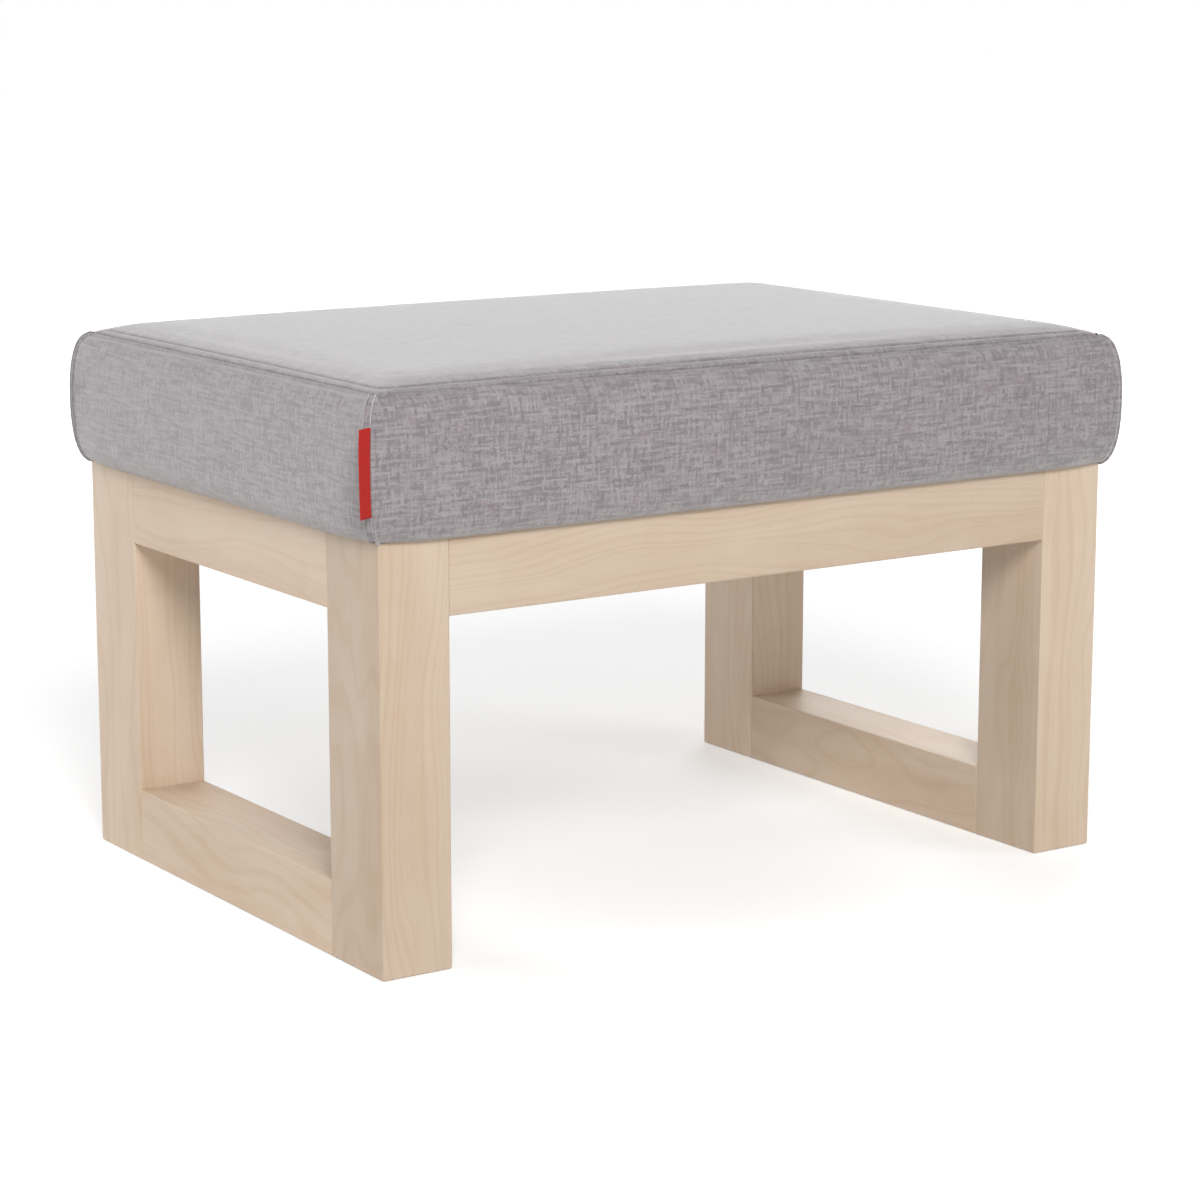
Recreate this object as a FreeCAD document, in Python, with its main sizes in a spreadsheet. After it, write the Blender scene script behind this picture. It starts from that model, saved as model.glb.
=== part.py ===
import FreeCAD, Part
import math
import os
import Sketcher

# Glider ottoman: two closed side loops of solid maple, joined by a long apron at the front
# and at the back, under an upholstered cushion whose cover is sewn from five panels.
# X runs along the long side, Y from front to back, Z up. The origin is the middle of the
# base, on the floor. Lengths are in millimetres.

os.makedirs("parts", exist_ok=True)
doc = FreeCAD.newDocument("glider_ottoman")

SIZES = [
    ("frame_width", 590.0, "frame, over both side loops"),
    ("frame_depth", 407.0, "frame, front to back"),
    ("frame_height", 279.8, "floor to the top of the frame"),
    ("leg_width", 50.8, "leg, seen from the front"),
    ("leg_depth", 65.5, "leg, seen from the side"),
    ("rail_height", 50.8, "side rails, top and floor"),
    ("apron_height", 50.8, "front and back aprons"),
    ("apron_thickness", 25.0, "front and back aprons"),
    ("arris_bevel", 0.6, "eased edges of the timber"),
    ("shoulder_bevel", 0.4, "eased shoulders, where rails and aprons meet the legs"),
    ("tenon_shoulder", 10.0, "tenons, below and above them"),
    ("rail_tenon_length", 30.0, "tenon of a side rail"),
    ("rail_tenon_thickness", 16.0, "tenon of a side rail"),
    ("apron_tenon_length", 25.0, "tenon of an apron"),
    ("apron_tenon_thickness", 9.0, "tenon of an apron"),
    ("mortise_clearance", 0.1, "room for glue on each face of a tenon"),
    ("mortise_end_room", 1.0, "spare depth past the end of a tenon"),
    ("bore_clearance", 0.1, "radial room round a screw, stem or nut"),
    ("bore_end_room", 1.0, "spare depth past the end of a screw or stem"),
    ("block_leg", 60.0, "corner block, along each of its two glued faces"),
    ("block_height", 40.0, "corner block"),
    ("block_toe", 8.0, "corner block, blunt end of each glued face"),
    ("block_relief", 5.0, "corner block, corner cut off for the glue"),
    ("bolt_inset", 22.0, "seat bolt, from both glued faces"),
    ("bolt_diameter", 6.0, "seat bolt shank"),
    ("bolt_head_width", 10.0, "seat bolt head, across flats"),
    ("bolt_head_height", 4.0, "seat bolt head"),
    ("bolt_bore_clearance", 0.4, "radial room round the bolt in the block"),
    ("screw_inset", 32.0, "block screw, from the other glued face"),
    ("screw_step", 16.0, "height between the two screws of a block"),
    ("screw_diameter", 4.5, "block screw shank"),
    ("screw_head_diameter", 9.0, "block screw head"),
    ("screw_head_height", 3.0, "block screw head"),
    ("screw_head_clearance", 0.5, "radial room round the head in its bore"),
    ("screw_grip", 16.0, "wood of the block under the screw head"),
    ("screw_bite", 14.0, "screw, past the block into the frame"),
    ("glide_diameter", 22.0, "floor glide"),
    ("glide_recess", 2.5, "floor glide, inside the leg"),
    ("glide_proud", 0.5, "floor glide, below the leg"),
    ("dust_cover_thickness", 0.5, "cloth under the seat"),
    ("dust_cover_room", 1.5, "between the dust cover and the timber round it"),
    ("cover_thickness", 1.5, "upholstery cloth"),
    ("hem_width", 35.0, "cover, turned under the board"),
    ("layer_gap", 0.3, "room between the cover and the wadding"),
    ("board_thickness", 15.0, "plywood seat board"),
    ("board_inset", 4.0, "board, in from the outer line of the frame"),
    ("board_corner_radius", 4.0, "board, in plan"),
    ("insert_diameter", 10.0, "threaded insert in the board"),
    ("insert_length", 12.0, "threaded insert in the board"),
    ("foam_thickness", 71.5, "foam block"),
    ("foam_bevel", 8.0, "foam block, top and upright edges"),
    ("wadding_thickness", 12.0, "fibre wrap over the foam"),
    ("side_bulge", 11.0, "cushion, side beyond the frame at its fullest"),
    ("side_fullness", 2.4, "cushion side: 2 is an ellipse, more is squarer"),
    ("roll_width", 20.0, "cushion, seam to the start of the crown, in plan"),
    ("roll_height", 7.6, "cushion, seam to the start of the crown, upwards"),
    ("roll_fullness", 1.5, "cushion top edge: 2 is an ellipse, less is flatter"),
    ("crown_rise", 2.3, "cushion, rise of the crown towards its middle"),
    ("crown_reach", 0.35, "cushion, share of the depth that the crown rises over"),
    ("cushion_corner_radius", 6.0, "cushion, in plan"),
    ("least_plan_radius", 0.4, "cushion, in plan, where its corners come to a point"),
    ("panel_overlap", 1.0, "room of a side panel below the frame top and above the seam"),
    ("label_width", 10.5, "ribbon label, out from the seam"),
    ("label_height", 55.0, "ribbon label"),
    ("label_thickness", 1.0, "ribbon label, both layers"),
    ("label_drop", 20.0, "ribbon label, below the top seam"),
    ("label_edge_bevel", 0.45, "ribbon label, along its fold"),
    ("label_angle", 22.0, "ribbon label, degrees from the front's line"),
]

sheet = doc.addObject("Spreadsheet::Sheet", "size")
for row, (alias, number, meaning) in enumerate(SIZES, start=1):
    sheet.set("A%d" % row, meaning)
    sheet.set("B%d" % row, str(number))
    sheet.setAlias("B%d" % row, alias)
doc.recompute()

# Places that several pieces share, worked out from the sheet.
HALF_WIDTH = "(size.frame_width / 2)"
HALF_DEPTH = "(size.frame_depth / 2)"
LEG_INNER_X = "(size.frame_width / 2 - size.leg_width)"
LEG_INNER_Y = "(size.frame_depth / 2 - size.leg_depth)"
LEG_MIDDLE_X = "(size.frame_width / 2 - size.leg_width / 2)"
APRON_BACK_Y = "(size.frame_depth / 2 - size.apron_thickness)"
APRON_MIDDLE_Y = "(size.frame_depth / 2 - size.apron_thickness / 2)"
BASE_Z = "size.glide_proud"
TOP_Z = "size.frame_height"
TOP_RAIL_Z = "(size.frame_height - size.rail_height / 2)"
FLOOR_RAIL_Z = "(size.glide_proud + size.rail_height / 2)"
APRON_Z = "(size.frame_height - size.apron_height / 2)"
BLOCK_Z = "(size.frame_height - size.block_height / 2)"
BOARD_Z = "(size.frame_height + size.cover_thickness)"
FOAM_Z = "(%s + size.board_thickness)" % BOARD_Z
CROWN_Z = ("(%s + size.foam_thickness + size.wadding_thickness + size.layer_gap"
           " + size.cover_thickness)" % FOAM_Z)
SEAM_Z = "(%s - size.roll_height - size.crown_rise)" % CROWN_Z
BOARD_HALF_X = "(%s - size.board_inset)" % HALF_WIDTH
BOARD_HALF_Y = "(%s - size.board_inset)" % HALF_DEPTH

CORNERS = {
    "front_left": (-1, -1),
    "front_right": (1, -1),
    "back_left": (-1, 1),
    "back_right": (1, 1),
}

pieces = []


def value(expression):
    return float(sheet.evalExpression(expression))


def new_body(name, several=False):
    body = doc.addObject("PartDesign::Body", name)
    body.Label = name
    body.AllowCompound = several
    return body


def origin_plane(body, role):
    return [part for part in body.Origin.OriginFeatures if part.Role == role][0]


def new_sketch(body, name, role, offset):
    """A sketch on one of the body's origin planes, moved along that plane's normal."""
    sketch = body.newObject("Sketcher::SketchObject", name)
    sketch.AttachmentSupport = [(origin_plane(body, role), "")]
    sketch.MapMode = "FlatFace"
    sketch.setExpression(".AttachmentOffset.Base.z", offset)
    return sketch


def pin(sketch, curve, point, across, up):
    """Ties a point of the sketch to its two distances from the sketch's origin."""
    for kind, expression in (("DistanceX", across), ("DistanceY", up)):
        index = sketch.addConstraint(
            Sketcher.Constraint(kind, -1, 1, curve, point, value(expression)))
        sketch.setExpression("Constraints[%d]" % index, expression)


def add_outline(sketch, points):
    """A closed outline of straight lines through points given as expressions."""
    corners = [FreeCAD.Vector(value(across), value(up), 0) for across, up in points]
    first = sketch.GeometryCount
    for index, start in enumerate(corners):
        end = corners[(index + 1) % len(corners)]
        sketch.addGeometry(Part.LineSegment(start, end), False)
    for index in range(len(corners)):
        following = first + (index + 1) % len(corners)
        sketch.addConstraint(Sketcher.Constraint("Coincident", first + index, 2, following, 1))
    for index, (across, up) in enumerate(points):
        pin(sketch, first + index, 1, across, up)


def add_rectangle(sketch, left, right, low, high):
    add_outline(sketch, [(left, low), (right, low), (right, high), (left, high)])


def add_circle(sketch, across, up, radius):
    centre = FreeCAD.Vector(value(across), value(up), 0)
    circle = sketch.addGeometry(
        Part.Circle(centre, FreeCAD.Vector(0, 0, 1), value(radius)), False)
    pin(sketch, circle, 3, across, up)
    index = sketch.addConstraint(Sketcher.Constraint("Radius", circle, value(radius)))
    sketch.setExpression("Constraints[%d]" % index, radius)


def add_rounded_rectangle(sketch, half_x, half_y, radius):
    """A centred rectangle with an arc at each corner: lines 0 to 3, arcs 4 to 7."""
    far_x, far_y, bend = value(half_x), value(half_y), value(radius)
    near_x, near_y = far_x - bend, far_y - bend
    up = FreeCAD.Vector(0, 0, 1)
    runs = [
        ((-near_x, -far_y), (near_x, -far_y)),
        ((far_x, -near_y), (far_x, near_y)),
        ((near_x, far_y), (-near_x, far_y)),
        ((-far_x, near_y), (-far_x, -near_y)),
    ]
    for start, end in runs:
        line = Part.LineSegment(FreeCAD.Vector(*start, 0), FreeCAD.Vector(*end, 0))
        sketch.addGeometry(line, False)
    centres = [(near_x, -near_y), (near_x, near_y), (-near_x, near_y), (-near_x, -near_y)]
    for quarter, centre in enumerate(centres):
        circle = Part.Circle(FreeCAD.Vector(*centre, 0), up, bend)
        start = (quarter - 1) * math.pi / 2
        sketch.addGeometry(Part.ArcOfCircle(circle, start, start + math.pi / 2), False)
    for quarter in range(4):
        arc, following = quarter + 4, (quarter + 1) % 4
        sketch.addConstraint(Sketcher.Constraint("Tangent", quarter, 2, arc, 1))
        sketch.addConstraint(Sketcher.Constraint("Tangent", arc, 2, following, 1))
    near = "(%s - %s)"
    inner_x = near % (half_x, radius)
    inner_y = near % (half_y, radius)
    pin(sketch, 0, 1, "-" + inner_x, "-(%s)" % half_y)
    pin(sketch, 1, 1, half_x, "-" + inner_y)
    pin(sketch, 2, 1, inner_x, half_y)
    pin(sketch, 3, 1, "-(%s)" % half_x, inner_y)


def pad(body, sketch, length):
    feature = body.newObject("PartDesign::Pad", sketch.Name + "_pad")
    feature.Profile = sketch
    feature.setExpression("Length", length)
    sketch.Visibility = False
    doc.recompute()
    return feature


def bore(body, sketch, depth):
    """A pocket as deep on both sides of its sketch, which lies on the face it enters."""
    before = body.Shape.Volume
    feature = body.newObject("PartDesign::Pocket", sketch.Name + "_pocket")
    feature.Profile = sketch
    feature.Midplane = True
    feature.setExpression("Length", "2 * (%s)" % depth)
    doc.recompute()
    if not body.Shape.Volume < before:
        raise RuntimeError("%s cuts nothing" % feature.Name)
    return feature


def revolve(body, sketch, turn_about):
    feature = body.newObject("PartDesign::Revolution", sketch.Name + "_turned")
    feature.Profile = sketch
    feature.ReferenceAxis = (sketch, [turn_about])
    feature.Angle = 360
    doc.recompute()
    return feature


def mirror(body, role, name):
    """Repeats all that the body holds on the other side of one of its origin planes."""
    feature = body.newObject("PartDesign::Mirrored", name)
    feature.TransformMode = "Whole shape"
    feature.MirrorPlane = (origin_plane(body, role), [""])
    body.Tip = feature
    doc.recompute()
    return feature


def four_corners(body):
    mirror(body, "YZ_Plane", body.Name + "_left_right")
    mirror(body, "XZ_Plane", body.Name + "_front_back")


def bevel_edges(body, feature, size, wanted):
    """Chamfers each edge of the feature for which wanted(start, end) is true."""
    names = []
    for number, edge in enumerate(feature.Shape.Edges, start=1):
        if wanted(edge.Vertexes[0].Point, edge.Vertexes[-1].Point):
            names.append("Edge%d" % number)
    chamfer = body.newObject("PartDesign::Chamfer", feature.Name + "_eased")
    chamfer.Base = (feature, names)
    chamfer.setExpression("Size", size)
    doc.recompute()
    return chamfer


def at_ends(axis, distance):
    """A test for edges that lie in either end face of a bar centred along the axis."""
    nearest = value(distance) - 1e-6
    return lambda start, end: min(abs(start[axis]), abs(end[axis])) > nearest


def along(axis):
    """A test for edges that run along X (0), Y (1) or Z (2)."""
    others = [index for index in range(3) if index != axis]
    return lambda start, end: all(abs(start[i] - end[i]) < 1e-6 for i in others)


def cut(name, base, tool):
    result = doc.addObject("Part::Cut", name)
    result.Label = name
    result.Base = base
    result.Tool = tool
    return result


def common(name, base, tool):
    result = doc.addObject("Part::Common", name)
    result.Label = name
    result.Base = base
    result.Tool = tool
    return result


def signed(sign, expression):
    return "%d * (%s)" % (sign, expression)


# Timber frame, with blind mortise and tenon joints


def add_tenon_section(sketch, across, up, thickness, height, room):
    """Section of a tenon, centred on its rail, or of its mortise if there is room round it."""
    half = "(%s / 2 + %s)" % (thickness, room)
    half_height = "(%s / 2 - size.tenon_shoulder + %s)" % (height, room)
    add_rectangle(sketch, "%s - %s" % (across, half), "%s + %s" % (across, half),
                  "%s - %s" % (up, half_height), "%s + %s" % (up, half_height))


def make_leg(corner, side, end):
    """Full-height post: mortises for two rails and an apron, and a seat for its glide."""
    body = new_body("leg_" + corner)
    foot = new_sketch(body, "leg_plan_" + corner, "XY_Plane", BASE_Z)
    edges_x = sorted([signed(side, HALF_WIDTH), signed(side, LEG_INNER_X)], key=value)
    edges_y = sorted([signed(end, HALF_DEPTH), signed(end, LEG_INNER_Y)], key=value)
    add_rectangle(foot, edges_x[0], edges_x[1], edges_y[0], edges_y[1])
    post = pad(body, foot, TOP_Z + " - " + BASE_Z)
    floor = value(BASE_Z)

    def upright_or_floor(start, end_point):
        on_floor = start.z < floor + 1e-6 and end_point.z < floor + 1e-6
        return on_floor or along(2)(start, end_point)

    bevel_edges(body, post, "size.arris_bevel", upright_or_floor)

    rail_face = new_sketch(body, "rail_mortises_" + corner, "XZ_Plane",
                           signed(-end, LEG_INNER_Y))
    for middle in (TOP_RAIL_Z, FLOOR_RAIL_Z):
        add_tenon_section(rail_face, signed(side, LEG_MIDDLE_X), middle,
                          "size.rail_tenon_thickness", "size.rail_height",
                          "size.mortise_clearance")
    bore(body, rail_face, "size.rail_tenon_length + size.mortise_end_room")

    apron_face = new_sketch(body, "apron_mortise_" + corner, "YZ_Plane",
                            signed(side, LEG_INNER_X))
    add_tenon_section(apron_face, signed(end, APRON_MIDDLE_Y), APRON_Z,
                      "size.apron_tenon_thickness", "size.apron_height",
                      "size.mortise_clearance")
    bore(body, apron_face, "size.apron_tenon_length + size.mortise_end_room")

    pilot = new_sketch(body, "screw_pilot_" + corner, "YZ_Plane", signed(side, LEG_INNER_X))
    add_circle(pilot, signed(end, APRON_BACK_Y + "- size.screw_inset"),
               BLOCK_Z + "+ size.screw_step / 2",
               "size.screw_diameter / 2 + size.bore_clearance")
    bore(body, pilot, "size.screw_bite + size.bore_end_room")

    middle_x = signed(side, LEG_MIDDLE_X)
    middle_y = signed(end, HALF_DEPTH + " - size.leg_depth / 2")
    recess = new_sketch(body, "glide_recess_" + corner, "XY_Plane", BASE_Z)
    add_circle(recess, middle_x, middle_y, "size.glide_diameter / 2 + size.bore_clearance")
    bore(body, recess, "size.glide_recess")
    pieces.append(body)


def make_side_rail(name, side, middle):
    """Rail between the two legs of a side loop, as thick as they are wide."""
    body = new_body(name)
    section = new_sketch(body, name + "_section", "XZ_Plane", "-" + LEG_INNER_Y)
    edges = sorted([signed(side, HALF_WIDTH), signed(side, LEG_INNER_X)], key=value)
    add_rectangle(section, edges[0], edges[1],
                  middle + "- size.rail_height / 2", middle + "+ size.rail_height / 2")
    rail = pad(body, section, "2 * " + LEG_INNER_Y)
    eased = bevel_edges(body, rail, "size.arris_bevel", along(1))
    bevel_edges(body, eased, "size.shoulder_bevel", at_ends(1, LEG_INNER_Y))
    tenon_end = "(%s + size.rail_tenon_length)" % LEG_INNER_Y
    tenons = new_sketch(body, name + "_tenons", "XZ_Plane", "-" + tenon_end)
    add_tenon_section(tenons, signed(side, LEG_MIDDLE_X), middle,
                      "size.rail_tenon_thickness", "size.rail_height", "0")
    pad(body, tenons, "2 * " + tenon_end)
    pieces.append(body)


def make_apron(name, end):
    """Long board between two legs, flush with their outer faces."""
    body = new_body(name)
    section = new_sketch(body, name + "_section", "YZ_Plane", "-" + LEG_INNER_X)
    edges = sorted([signed(end, HALF_DEPTH), signed(end, APRON_BACK_Y)], key=value)
    add_rectangle(section, edges[0], edges[1], TOP_Z + " - size.apron_height", TOP_Z)
    board = pad(body, section, "2 * " + LEG_INNER_X)
    eased = bevel_edges(body, board, "size.arris_bevel", along(0))
    bevel_edges(body, eased, "size.shoulder_bevel", at_ends(0, LEG_INNER_X))
    tenon_end = "(%s + size.apron_tenon_length)" % LEG_INNER_X
    tenons = new_sketch(body, name + "_tenons", "YZ_Plane", "-" + tenon_end)
    add_tenon_section(tenons, signed(end, APRON_MIDDLE_Y), APRON_Z,
                      "size.apron_tenon_thickness", "size.apron_height", "0")
    pad(body, tenons, "2 * " + tenon_end)
    pilots = new_sketch(body, name + "_screw_pilots", "XZ_Plane", signed(-end, APRON_BACK_Y))
    for side in (-1, 1):
        add_circle(pilots, signed(side, LEG_INNER_X + "- size.screw_inset"),
                   BLOCK_Z + "- size.screw_step / 2",
                   "size.screw_diameter / 2 + size.bore_clearance")
    bore(body, pilots, "size.screw_bite + size.bore_end_room")
    pieces.append(body)


def make_corner_block(corner, side, end):
    """Glued and screwed block behind the apron. The seat bolt comes up through it."""
    name = "corner_block_" + corner
    body = new_body(name)

    def place(in_x, in_y):
        return (signed(side, "%s - (%s)" % (LEG_INNER_X, in_x)),
                signed(end, "%s - (%s)" % (APRON_BACK_Y, in_y)))

    plan = new_sketch(body, name + "_plan", "XY_Plane", TOP_Z + " - size.block_height")
    add_outline(plan, [
        place("size.block_relief", "0"),
        place("size.block_leg", "0"),
        place("size.block_leg", "size.block_toe"),
        place("size.block_toe", "size.block_leg"),
        place("0", "size.block_leg"),
        place("0", "size.block_relief"),
    ])
    pad(body, plan, "size.block_height")

    bolt = new_sketch(body, name + "_bolt_bore", "XY_Plane", TOP_Z)
    bolt_x, bolt_y = place("size.bolt_inset", "size.bolt_inset")
    add_circle(bolt, bolt_x, bolt_y, "size.bolt_diameter / 2 + size.bolt_bore_clearance")
    bore(body, bolt, "size.block_height")

    into_apron_x, apron_face = place("size.screw_inset", "0")
    leg_face, into_leg_y = place("0", "size.screw_inset")
    low = BLOCK_Z + "- size.screw_step / 2"
    high = BLOCK_Z + "+ size.screw_step / 2"
    screws = [
        ("apron", "XZ_Plane", into_apron_x, low, end, APRON_BACK_Y),
        ("leg", "YZ_Plane", into_leg_y, high, side, LEG_INNER_X),
    ]
    for target, role, across, up, sign, face in screws:
        # An XZ sketch faces the front, so its offset along Y changes sign.
        facing = -sign if role == "XZ_Plane" else sign
        shank = new_sketch(body, "%s_%s_shank" % (name, target), role, signed(facing, face))
        add_circle(shank, across, up, "size.screw_diameter / 2 + size.bore_clearance")
        bore(body, shank, "size.block_leg")
        # The head's bore is open from the slanted face down to the grip.
        mouth = "%s - size.screw_grip - size.block_leg" % face
        head = new_sketch(body, "%s_%s_head" % (name, target), role, signed(facing, mouth))
        add_circle(head, across, up, "size.screw_head_diameter / 2 + size.screw_head_clearance")
        bore(body, head, "size.block_leg")
    pieces.append(body)


# Fasteners and glides. Each set of like ones is one group of separate solids.


def add_axis(sketch, start, end):
    """A construction line for turning about."""
    ends = [FreeCAD.Vector(value(across), value(up), 0) for across, up in (start, end)]
    line = sketch.addGeometry(Part.LineSegment(*ends), True)
    for point, (across, up) in enumerate((start, end), start=1):
        pin(sketch, line, point, across, up)


def shifted(points, up_by):
    return [(across, "%s + %s" % (up_by, up)) for across, up in points]


def make_block_screws():
    body = new_body("corner_block_screws", several=True)
    radius = "size.screw_diameter / 2"
    head = "size.screw_head_diameter / 2"
    rings = [
        ("(-size.screw_grip - size.screw_head_height)", head),
        ("(-size.screw_grip)", head),
        ("(-size.screw_grip)", radius),
        ("size.screw_bite", radius),
    ]
    screws = [
        ("into_apron", "YZ_Plane", LEG_INNER_X + "- size.screw_inset", APRON_BACK_Y,
         BLOCK_Z + "- size.screw_step / 2"),
        ("into_leg", "XZ_Plane", "-(%s - size.screw_inset)" % APRON_BACK_Y, LEG_INNER_X,
         BLOCK_Z + "+ size.screw_step / 2"),
    ]
    for name, role, offset, face, height in screws:
        sketch = new_sketch(body, "screw_" + name, role, offset)
        points = [("%s + %s" % (face, rings[0][0]), "0")]
        points += [("%s + %s" % (face, distance), size) for distance, size in rings]
        points += [("%s + %s" % (face, rings[-1][0]), "0")]
        add_outline(sketch, shifted(points, height))
        add_axis(sketch, (face, height), (face + "+ size.screw_bite", height))
        revolve(body, sketch, "Axis0")
    four_corners(body)
    pieces.append(body)


def bolt_place():
    return ("%s - size.bolt_inset" % LEG_INNER_X, "%s - size.bolt_inset" % APRON_BACK_Y)


def make_seat_bolts():
    """Hexagon bolts: a head below the block, and a shank up into the threaded insert."""
    body = new_body("seat_bolts", several=True)
    across, up = bolt_place()
    head_z = TOP_Z + " - size.block_height - size.bolt_head_height"
    head = new_sketch(body, "bolt_head", "XY_Plane", head_z)
    reach = "(size.bolt_head_width / sqrt(3))"
    hexagon = []
    for turn in range(6):
        angle = turn * 60
        hexagon.append(("%s + %s * cos(%d deg)" % (across, reach, angle),
                        "%s + %s * sin(%d deg)" % (up, reach, angle)))
    add_outline(head, hexagon)
    pad(body, head, "size.bolt_head_height")
    shank = new_sketch(body, "bolt_shank", "XY_Plane", head_z + " + size.bolt_head_height")
    add_circle(shank, across, up, "size.bolt_diameter / 2")
    pad(body, shank, "size.block_height + size.cover_thickness + size.insert_length")
    four_corners(body)
    pieces.append(body)


def make_inserts():
    """Threaded inserts, set in the underside of the board."""
    body = new_body("seat_inserts", several=True)
    across, up = bolt_place()
    ring = new_sketch(body, "insert_ring", "XY_Plane", BOARD_Z)
    add_circle(ring, across, up, "size.insert_diameter / 2")
    add_circle(ring, across, up, "size.bolt_diameter / 2 + size.bore_clearance")
    pad(body, ring, "size.insert_length")
    four_corners(body)
    pieces.append(body)


def make_glides():
    """Nylon discs set in the bottoms of the legs, just proud of them."""
    body = new_body("floor_glides", several=True)
    disc = new_sketch(body, "glide_disc", "XY_Plane", "0")
    add_circle(disc, LEG_MIDDLE_X, HALF_DEPTH + " - size.leg_depth / 2",
               "size.glide_diameter / 2")
    pad(body, disc, "size.glide_proud + size.glide_recess")
    four_corners(body)
    pieces.append(body)


# Seat: board, foam, wadding, sewn cover, dust cover and ribbon label


def make_board():
    body = new_body("seat_board")
    plan = new_sketch(body, "board_plan", "XY_Plane", BOARD_Z)
    add_rounded_rectangle(plan, BOARD_HALF_X, BOARD_HALF_Y, "size.board_corner_radius")
    pad(body, plan, "size.board_thickness")
    across, up = bolt_place()
    seats = new_sketch(body, "insert_seats", "XY_Plane", BOARD_Z)
    for side, end in CORNERS.values():
        add_circle(seats, signed(side, across), signed(end, up),
                   "size.insert_diameter / 2 + size.bore_clearance")
    bore(body, seats, "size.insert_length + size.bore_end_room")
    pieces.append(body)


def make_foam():
    body = new_body("seat_foam")
    plan = new_sketch(body, "foam_plan", "XY_Plane", FOAM_Z)
    add_rectangle(plan, "-" + BOARD_HALF_X, BOARD_HALF_X, "-" + BOARD_HALF_Y, BOARD_HALF_Y)
    block = pad(body, plan, "size.foam_thickness")
    bottom = value(FOAM_Z)
    bevel_edges(body, block, "size.foam_bevel",
                lambda start, end: start.z > bottom + 1e-6 or end.z > bottom + 1e-6)
    pieces.append(body)
    return body


def make_dust_cover():
    """Thin cloth under the seat, inside the frame, with its corners cut off at the blocks."""
    body = new_body("dust_cover")
    plan = new_sketch(body, "dust_cover_plan", "XY_Plane", TOP_Z + " - size.dust_cover_thickness")
    half_x = "(%s - size.dust_cover_room)" % LEG_INNER_X
    half_y = "(%s - size.dust_cover_room)" % APRON_BACK_Y
    corner_cut = "(size.block_leg + size.block_toe)"
    far_x, near_x = half_x, "(%s - %s)" % (half_x, corner_cut)
    far_y, near_y = half_y, "(%s - %s)" % (half_y, corner_cut)
    add_outline(plan, [
        ("-" + near_x, "-" + far_y), (near_x, "-" + far_y),
        (far_x, "-" + near_y), (far_x, near_y),
        (near_x, far_y), ("-" + near_x, far_y),
        ("-" + far_x, near_y), ("-" + far_x, "-" + near_y),
    ])
    pad(body, plan, "size.dust_cover_thickness")
    pieces.append(body)


def side_stations(depth):
    """Outline of the cushion's side from the frame up to the seam.

    Each station is (overhang, height, plan radius). The outline is half a superellipse, and
    a form that lies deeper follows it inwards, so cloth and layers stay about parallel.
    """
    middle = "((%s + %s) / 2)" % (SEAM_Z, TOP_Z)
    half = "((%s - %s) / 2)" % (SEAM_Z, TOP_Z)
    radius = "(size.cushion_corner_radius - %s)" % depth
    stations = [("-(%s)" % depth, "%s + %s" % (TOP_Z, depth), radius)]
    for angle in (-67.5, -45, -22.5, 0, 22.5, 45, 67.5):
        sign = "-" if angle < 0 else "+"
        out = "(cos(%g deg) ^ (2 / size.side_fullness))" % angle
        rise = "(sin(%g deg) ^ (2 / size.side_fullness))" % abs(angle) if angle else "0"
        stations.append((
            "size.side_bulge * %s - %s * cos(%g deg)" % (out, depth, angle),
            "%s %s %s * %s - %s * sin(%g deg)" % (middle, sign, half, rise, depth, angle),
            radius,
        ))
    stations.append(seam_station(depth))
    return stations


def seam_station(depth):
    lean = "cos(45 deg)"
    return ("-(%s) * %s" % (depth, lean), "%s - (%s) * %s" % (SEAM_Z, depth, lean),
            "(size.cushion_corner_radius - %s)" % depth)


def roll_stations(depth):
    """Outline of the top edge from the seam up to the crown, a quarter superellipse."""
    stations = [seam_station(depth)]
    for angle in (30, 60, 90):
        inward = "(1 - cos(%g deg) ^ (2 / size.roll_fullness))" % angle if angle < 90 else "1"
        inset = "(size.roll_width * %s + %s * cos(%g deg))" % (inward, depth, angle)
        rise = "(sin(%g deg) ^ (2 / size.roll_fullness))" % angle
        stations.append((
            "-" + inset,
            "%s + size.roll_height * %s - %s * sin(%g deg)" % (SEAM_Z, rise, depth, angle),
            "max(size.cushion_corner_radius - %s; size.least_plan_radius)" % inset,
        ))
    return stations


def crown_levels(depth):
    """The crown is a parabola that flattens towards the middle: (inset, height)."""
    start = "(size.roll_width + size.least_plan_radius)"
    reach = "(size.crown_reach * size.frame_depth - %s)" % start
    levels = []
    for share in (0, 0.5, 1):
        levels.append((
            "(%s + %g * %s)" % (start, share, reach),
            "(%s + size.roll_height + size.crown_rise * (1 - (1 - %g) ^ 2) - %s)"
            % (SEAM_Z, share, depth),
        ))
    return levels


def add_lofts(name, outlines):
    """A solid lofted through a rounded rectangle at each station, outline after outline."""
    body = new_body(name)
    shared = None
    for number, stations in enumerate(outlines):
        sketches = [shared] if shared else []
        for step, (overhang, height, radius) in enumerate(stations[len(sketches):]):
            section = new_sketch(body, "%s_%d_%d" % (name, number, step), "XY_Plane", height)
            add_rounded_rectangle(section, "(%s + %s)" % (HALF_WIDTH, overhang),
                                  "(%s + %s)" % (HALF_DEPTH, overhang), radius)
            sketches.append(section)
        doc.recompute()
        loft = body.newObject("PartDesign::AdditiveLoft", "%s_loft_%d" % (name, number))
        loft.Profile = sketches[0]
        loft.Sections = sketches[1:]
        loft.Ruled = True
        doc.recompute()
        shared = sketches[-1]
    return body


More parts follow.
